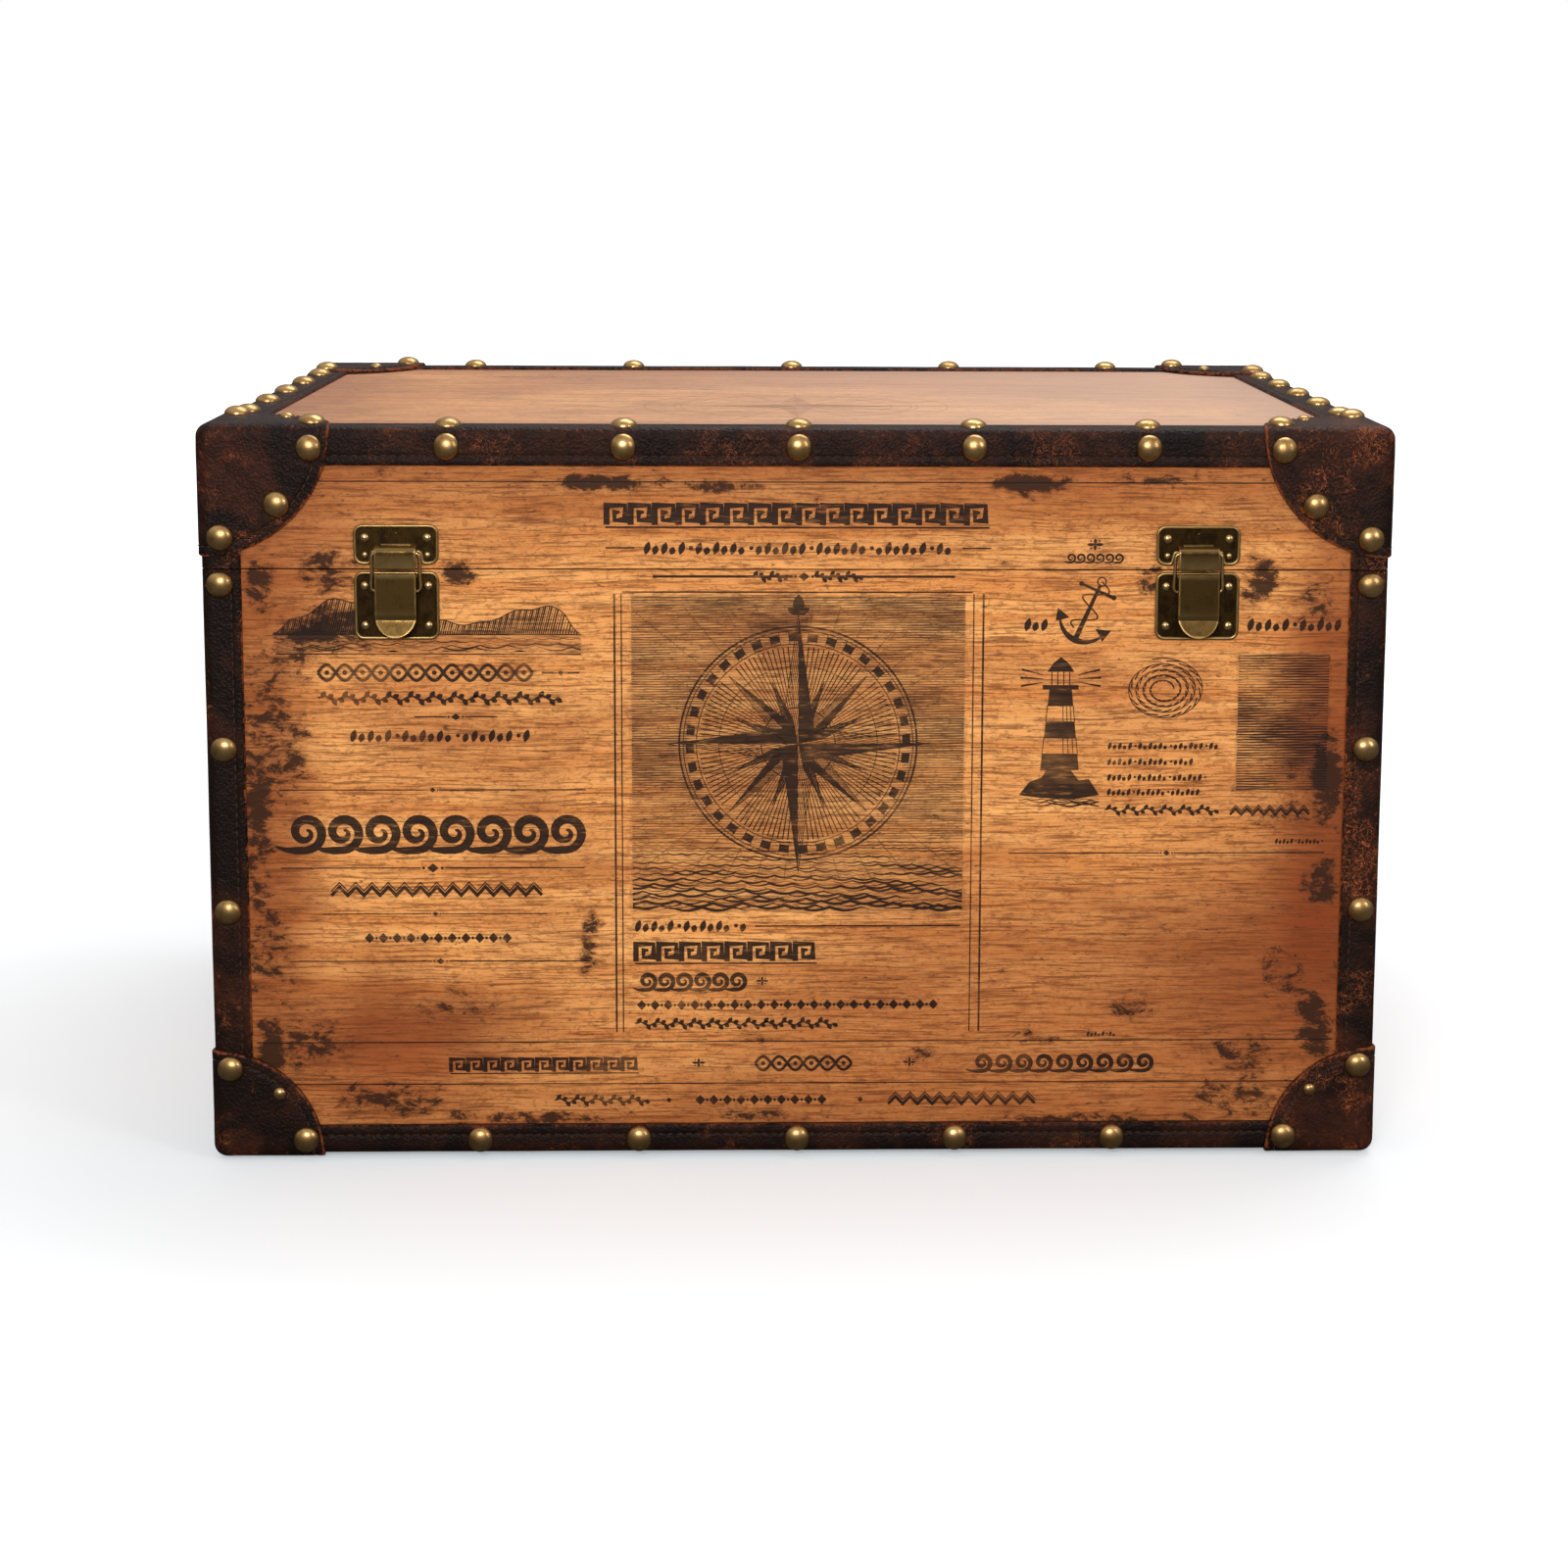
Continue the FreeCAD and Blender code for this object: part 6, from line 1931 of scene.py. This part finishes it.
def rhumb_line(degrees):
    """Line of constant bearing from the rose's ring to the border of the picture."""
    reach_x = (picture_half - 1) / max(abs(math.cos(math.radians(degrees))), 0.01)
    reach_z = 78 / max(abs(math.sin(math.radians(degrees))), 0.01)
    return ray(rose_centre, 68, min(reach_x, reach_z), degrees, 0.35)


wash = [ragged(-picture_half - 1, picture_half + 1, 144, 326), ragged(246, 299, 213, 293)]
wash.append(ragged(-291, -121, 293, 305))
flat_piece("print_wash", wash, ink_wash, lift=0.018)
strokes = hatch(-picture_half, picture_half, 186, 325, 1.4, sky)
strokes += [rhumb_line(degrees) for degrees in np.arange(5.625, 360, 11.25)]
flat_piece("print_sky", strokes, ink_pale, lift=0.035)
flat_piece("print_rose", compass(rose_centre, 74.0) + tip_mark(rose_centre, 72.0), lift=0.07)
flat_piece("print_sea", sea_waves(-picture_half, picture_half, 145, 186, 26, 1.35))

# %% Rows under the middle picture
rows = seed_row(-92, -28, 132.5, 140) + ruled(-24, 92, 136, 0.6)
rows += fret_row(-92, 11, 115.5, 127.5) + wave_row(-90, -29, 99, 109) + fleuron(-20, 104, 2.6)
rows += bead_row(-92, 81, 87, 93) + leaf_row(-92, 21, 75.5, 82.5)
flat_piece("print_middle_rows", rows)

# %% Left side
flat_piece("print_coast", coast(-291, -121, 303.0))
rows = ruled(-290, -121, 292, 0.5) + braid_row(-267, -148, 276, 287) + ruled(-143, -122, 281.5, 0.8, 1.4)
rows += leaf_row(-267, -134, 263, 271) + ruled(-214, -168, 256.5, 0.5, 2.0) + seed_row(-250, -149, 242, 249.7)
rows += ruled(-290, -119, 214.8, 0.5, 1.4) + wave_row(-286, -120, 180.5, 200.5)
rows += ruled(-290, -120, 170, 0.5, 2.6) + chevron_row(-262, -144, 153.5, 161)
rows += ruled(-267, -141, 143.5, 0.4, 1.4) + bead_row(-245, -160, 126.5, 132.5)
rows += ruled(-286, -117, 116, 0.5, 1.8)
flat_piece("print_left_rows", rows)

# %% Right side
flat_piece("print_anchor", anchor(162, 317, 40))
flat_piece("print_lighthouse", lighthouse(147, 209, 84))
flat_piece("print_rope", rope_coil(205, 272, 23))


def far_water(x, z):
    """Tone of the pale patch of water at the right."""
    return cloudy(x * 1.4, z * 1.3) + 0.1


flat_piece("print_far_water", hatch(247, 298, 214, 292, 1.5, far_water), lift=0.035)
rows = seed_row(251, 305, 305, 313) + seed_row(126, 140, 305, 313)
for z, short in ((237.5, 0), (228.5, 14), (219.5, 6), (211.0, 10)):
    rows += seed_row(174, 237 - short, z, z + 4.6)
rows += leaf_row(173, 236, 199.5, 206) + chevron_row(244, 289, 199.5, 205) + seed_row(270, 298, 183, 186.5)
rows += ruled(119, 298, 178, 0.5, 1.6) + seed_row(165, 182, 70.5, 74)
flat_piece("print_right_rows", rows)

# %% Foot of the front
rows = fret_row(-197, -90, 51, 60) + fleuron(-56, 56, 2.8) + braid_row(-24, 31, 50.5, 60.5)
rows += fleuron(64, 56, 2.8)
rows += wave_row(100, 204, 50.5, 60.5) + leaf_row(-138, -86, 30.5, 37.5) + [lozenge(-73, 34, 1.6, 1.6)]
rows += bead_row(-59, 18, 31, 37) + [lozenge(36, 34, 1.6, 1.6)] + chevron_row(52, 136, 30.5, 37.5)
for z in (68.5, 43.9, 20.3):
    rows += ruled(-306, 306, z, 0.5)
flat_piece("print_foot_rows", rows)

# %% Faint print on the top
top_centre = (0.0, -70.0)
strokes = [bow(top_centre, r, 0, 360, 0.8, 73) for r in (58, 70, 74, 92)]
strokes += [ray(top_centre, 12, 90, degrees, 0.8) for degrees in np.arange(0, 360, 22.5)]
for bearing in (90, 270, 0, 180):
    strokes += rose_point(top_centre, bearing, 70, 14, 45)
flat_piece("top_print", strokes, ink_top, "lid", 0.03, "top")

# %% [markdown]
# ## Floor, light and camera
# The photograph is a catalogue picture: white ground, a soft light high in front, a weaker one at
# the right and a broad one from above. The floor is plain and pale; a camera ray sees it lifted to
# white away from the trunk, so the shadow stays and the trunk gets no extra light. The camera sees
# the world white, and it lights the trunk at half that strength. Reflections find it brighter
# overhead than at the horizon.

# %% Stage
floor_lift = 0.36
floor_size = 30.0


def floor_material():
    """Matt white floor; camera rays add a glow that grows away from the trunk, up to white."""
    material, tree, shader = new_material("studio_floor")
    path = put(tree, "LightPath").outputs
    shade = ramp(tree, path["Is Glossy Ray"], 0.0, 1.0, 0.72, 0.1)
    distance = put(tree, "VectorMath", {0: object_position(tree)}, operation="LENGTH").outputs["Value"]
    glow = calc(tree, "MULTIPLY", path["Is Camera Ray"], ramp(tree, distance, 0.45, 1.5, floor_lift, 1.0))
    fill(tree, shader, {"Base Color": shade, "Roughness": 0.9, "Specular IOR Level": 0.1})
    fill(tree, shader, {"Emission Color": (0.94, 1.0, 1.04, 1.0), "Emission Strength": glow})
    return material


floor_mesh = bpy.data.meshes.new("studio_floor")
floor_corners = [(sx * floor_size, sy * floor_size, 0) for sx, sy in ((-1, -1), (1, -1), (1, 1), (-1, 1))]
floor_mesh.from_pydata(floor_corners, [], [[0, 1, 2, 3]])
floor_mesh.materials.append(floor_material())
studio_floor = bpy.data.objects.new("studio_floor", floor_mesh)
bpy.context.scene.collection.objects.link(studio_floor)


def studio_world():
    """White for camera and glass rays, graded grey for reflections, soft grey light for the rest."""
    world = bpy.data.worlds.new("studio")
    bpy.context.scene.world = world
    world.use_nodes = True
    tree = world.node_tree
    tree.nodes.clear()
    path = put(tree, "LightPath").outputs
    facing = put(tree, "SeparateXYZ", {0: put(tree, "NewGeometry").outputs["Incoming"]}).outputs[2]
    mirror = ramp(tree, facing, -0.9, 0.0, 0.7, 0.16)
    seen = calc(tree, "MAXIMUM", path["Is Camera Ray"], path["Is Transmission Ray"])
    strength = ramp(tree, seen, 0.0, 1.0, 0.5, 1.0)
    change = calc(tree, "MULTIPLY", path["Is Glossy Ray"], calc(tree, "SUBTRACT", mirror, strength))
    strength = calc(tree, "ADD", strength, change)
    light = put(tree, "Background", {"Color": (1.0, 1.0, 1.0, 1.0), "Strength": strength})
    result = put(tree, "OutputWorld")
    tree.links.new(light.outputs[0], result.inputs[0])


studio_world()


def soft_light(name, place, target, size, watts):
    """Rectangular area light at place, turned towards target."""
    lamp = bpy.data.lights.new(name, "AREA")
    lamp.shape = "RECTANGLE"
    lamp.size, lamp.size_y = size
    lamp.energy = watts
    item = bpy.data.objects.new(name, lamp)
    bpy.context.scene.collection.objects.link(item)
    direction = np.array(target) - np.array(place)
    item.location = place
    item.rotation_euler = Vector(direction.tolist()).to_track_quat("-Z", "Y").to_euler()


soft_light("key", (-0.25, -2.38, 1.15), (0, 0, 0.25), (0.9, 0.6), 29)
soft_light("side", (1.5, -1.6, 1.15), (0, 0, 0.25), (0.35, 0.6), 7)
soft_light("top", (0.35, 0.5, 1.9), (0.1, 0, 0.4), (1.5, 0.9), 17)

# %% [markdown]
# The camera was solved from the trunk's own corners and nails: nearly square on, a little above,
# looking slightly down, with a long lens moved up so that the picture keeps room above.

# %% Camera
lens = bpy.data.cameras.new("camera")
sensor = 36.0
focal_pixels = 2927.2
picture_pixels = 1600
lens.sensor_width = sensor
lens.lens = focal_pixels / picture_pixels * sensor
lens.shift_x = -0.04067
lens.shift_y = -0.1385
lens.dof.use_dof = False
camera = bpy.data.objects.new("camera", lens)
bpy.context.scene.collection.objects.link(camera)
camera.location = (-0.01956, -1.80481, 0.57116)
camera.rotation_euler = (math.radians(90 - 8.29), math.radians(-0.3144), math.radians(-1.6553))
bpy.context.scene.camera = camera
bpy.context.scene.view_settings.view_transform = "Standard"
print("camera lens", round(lens.lens, 2))
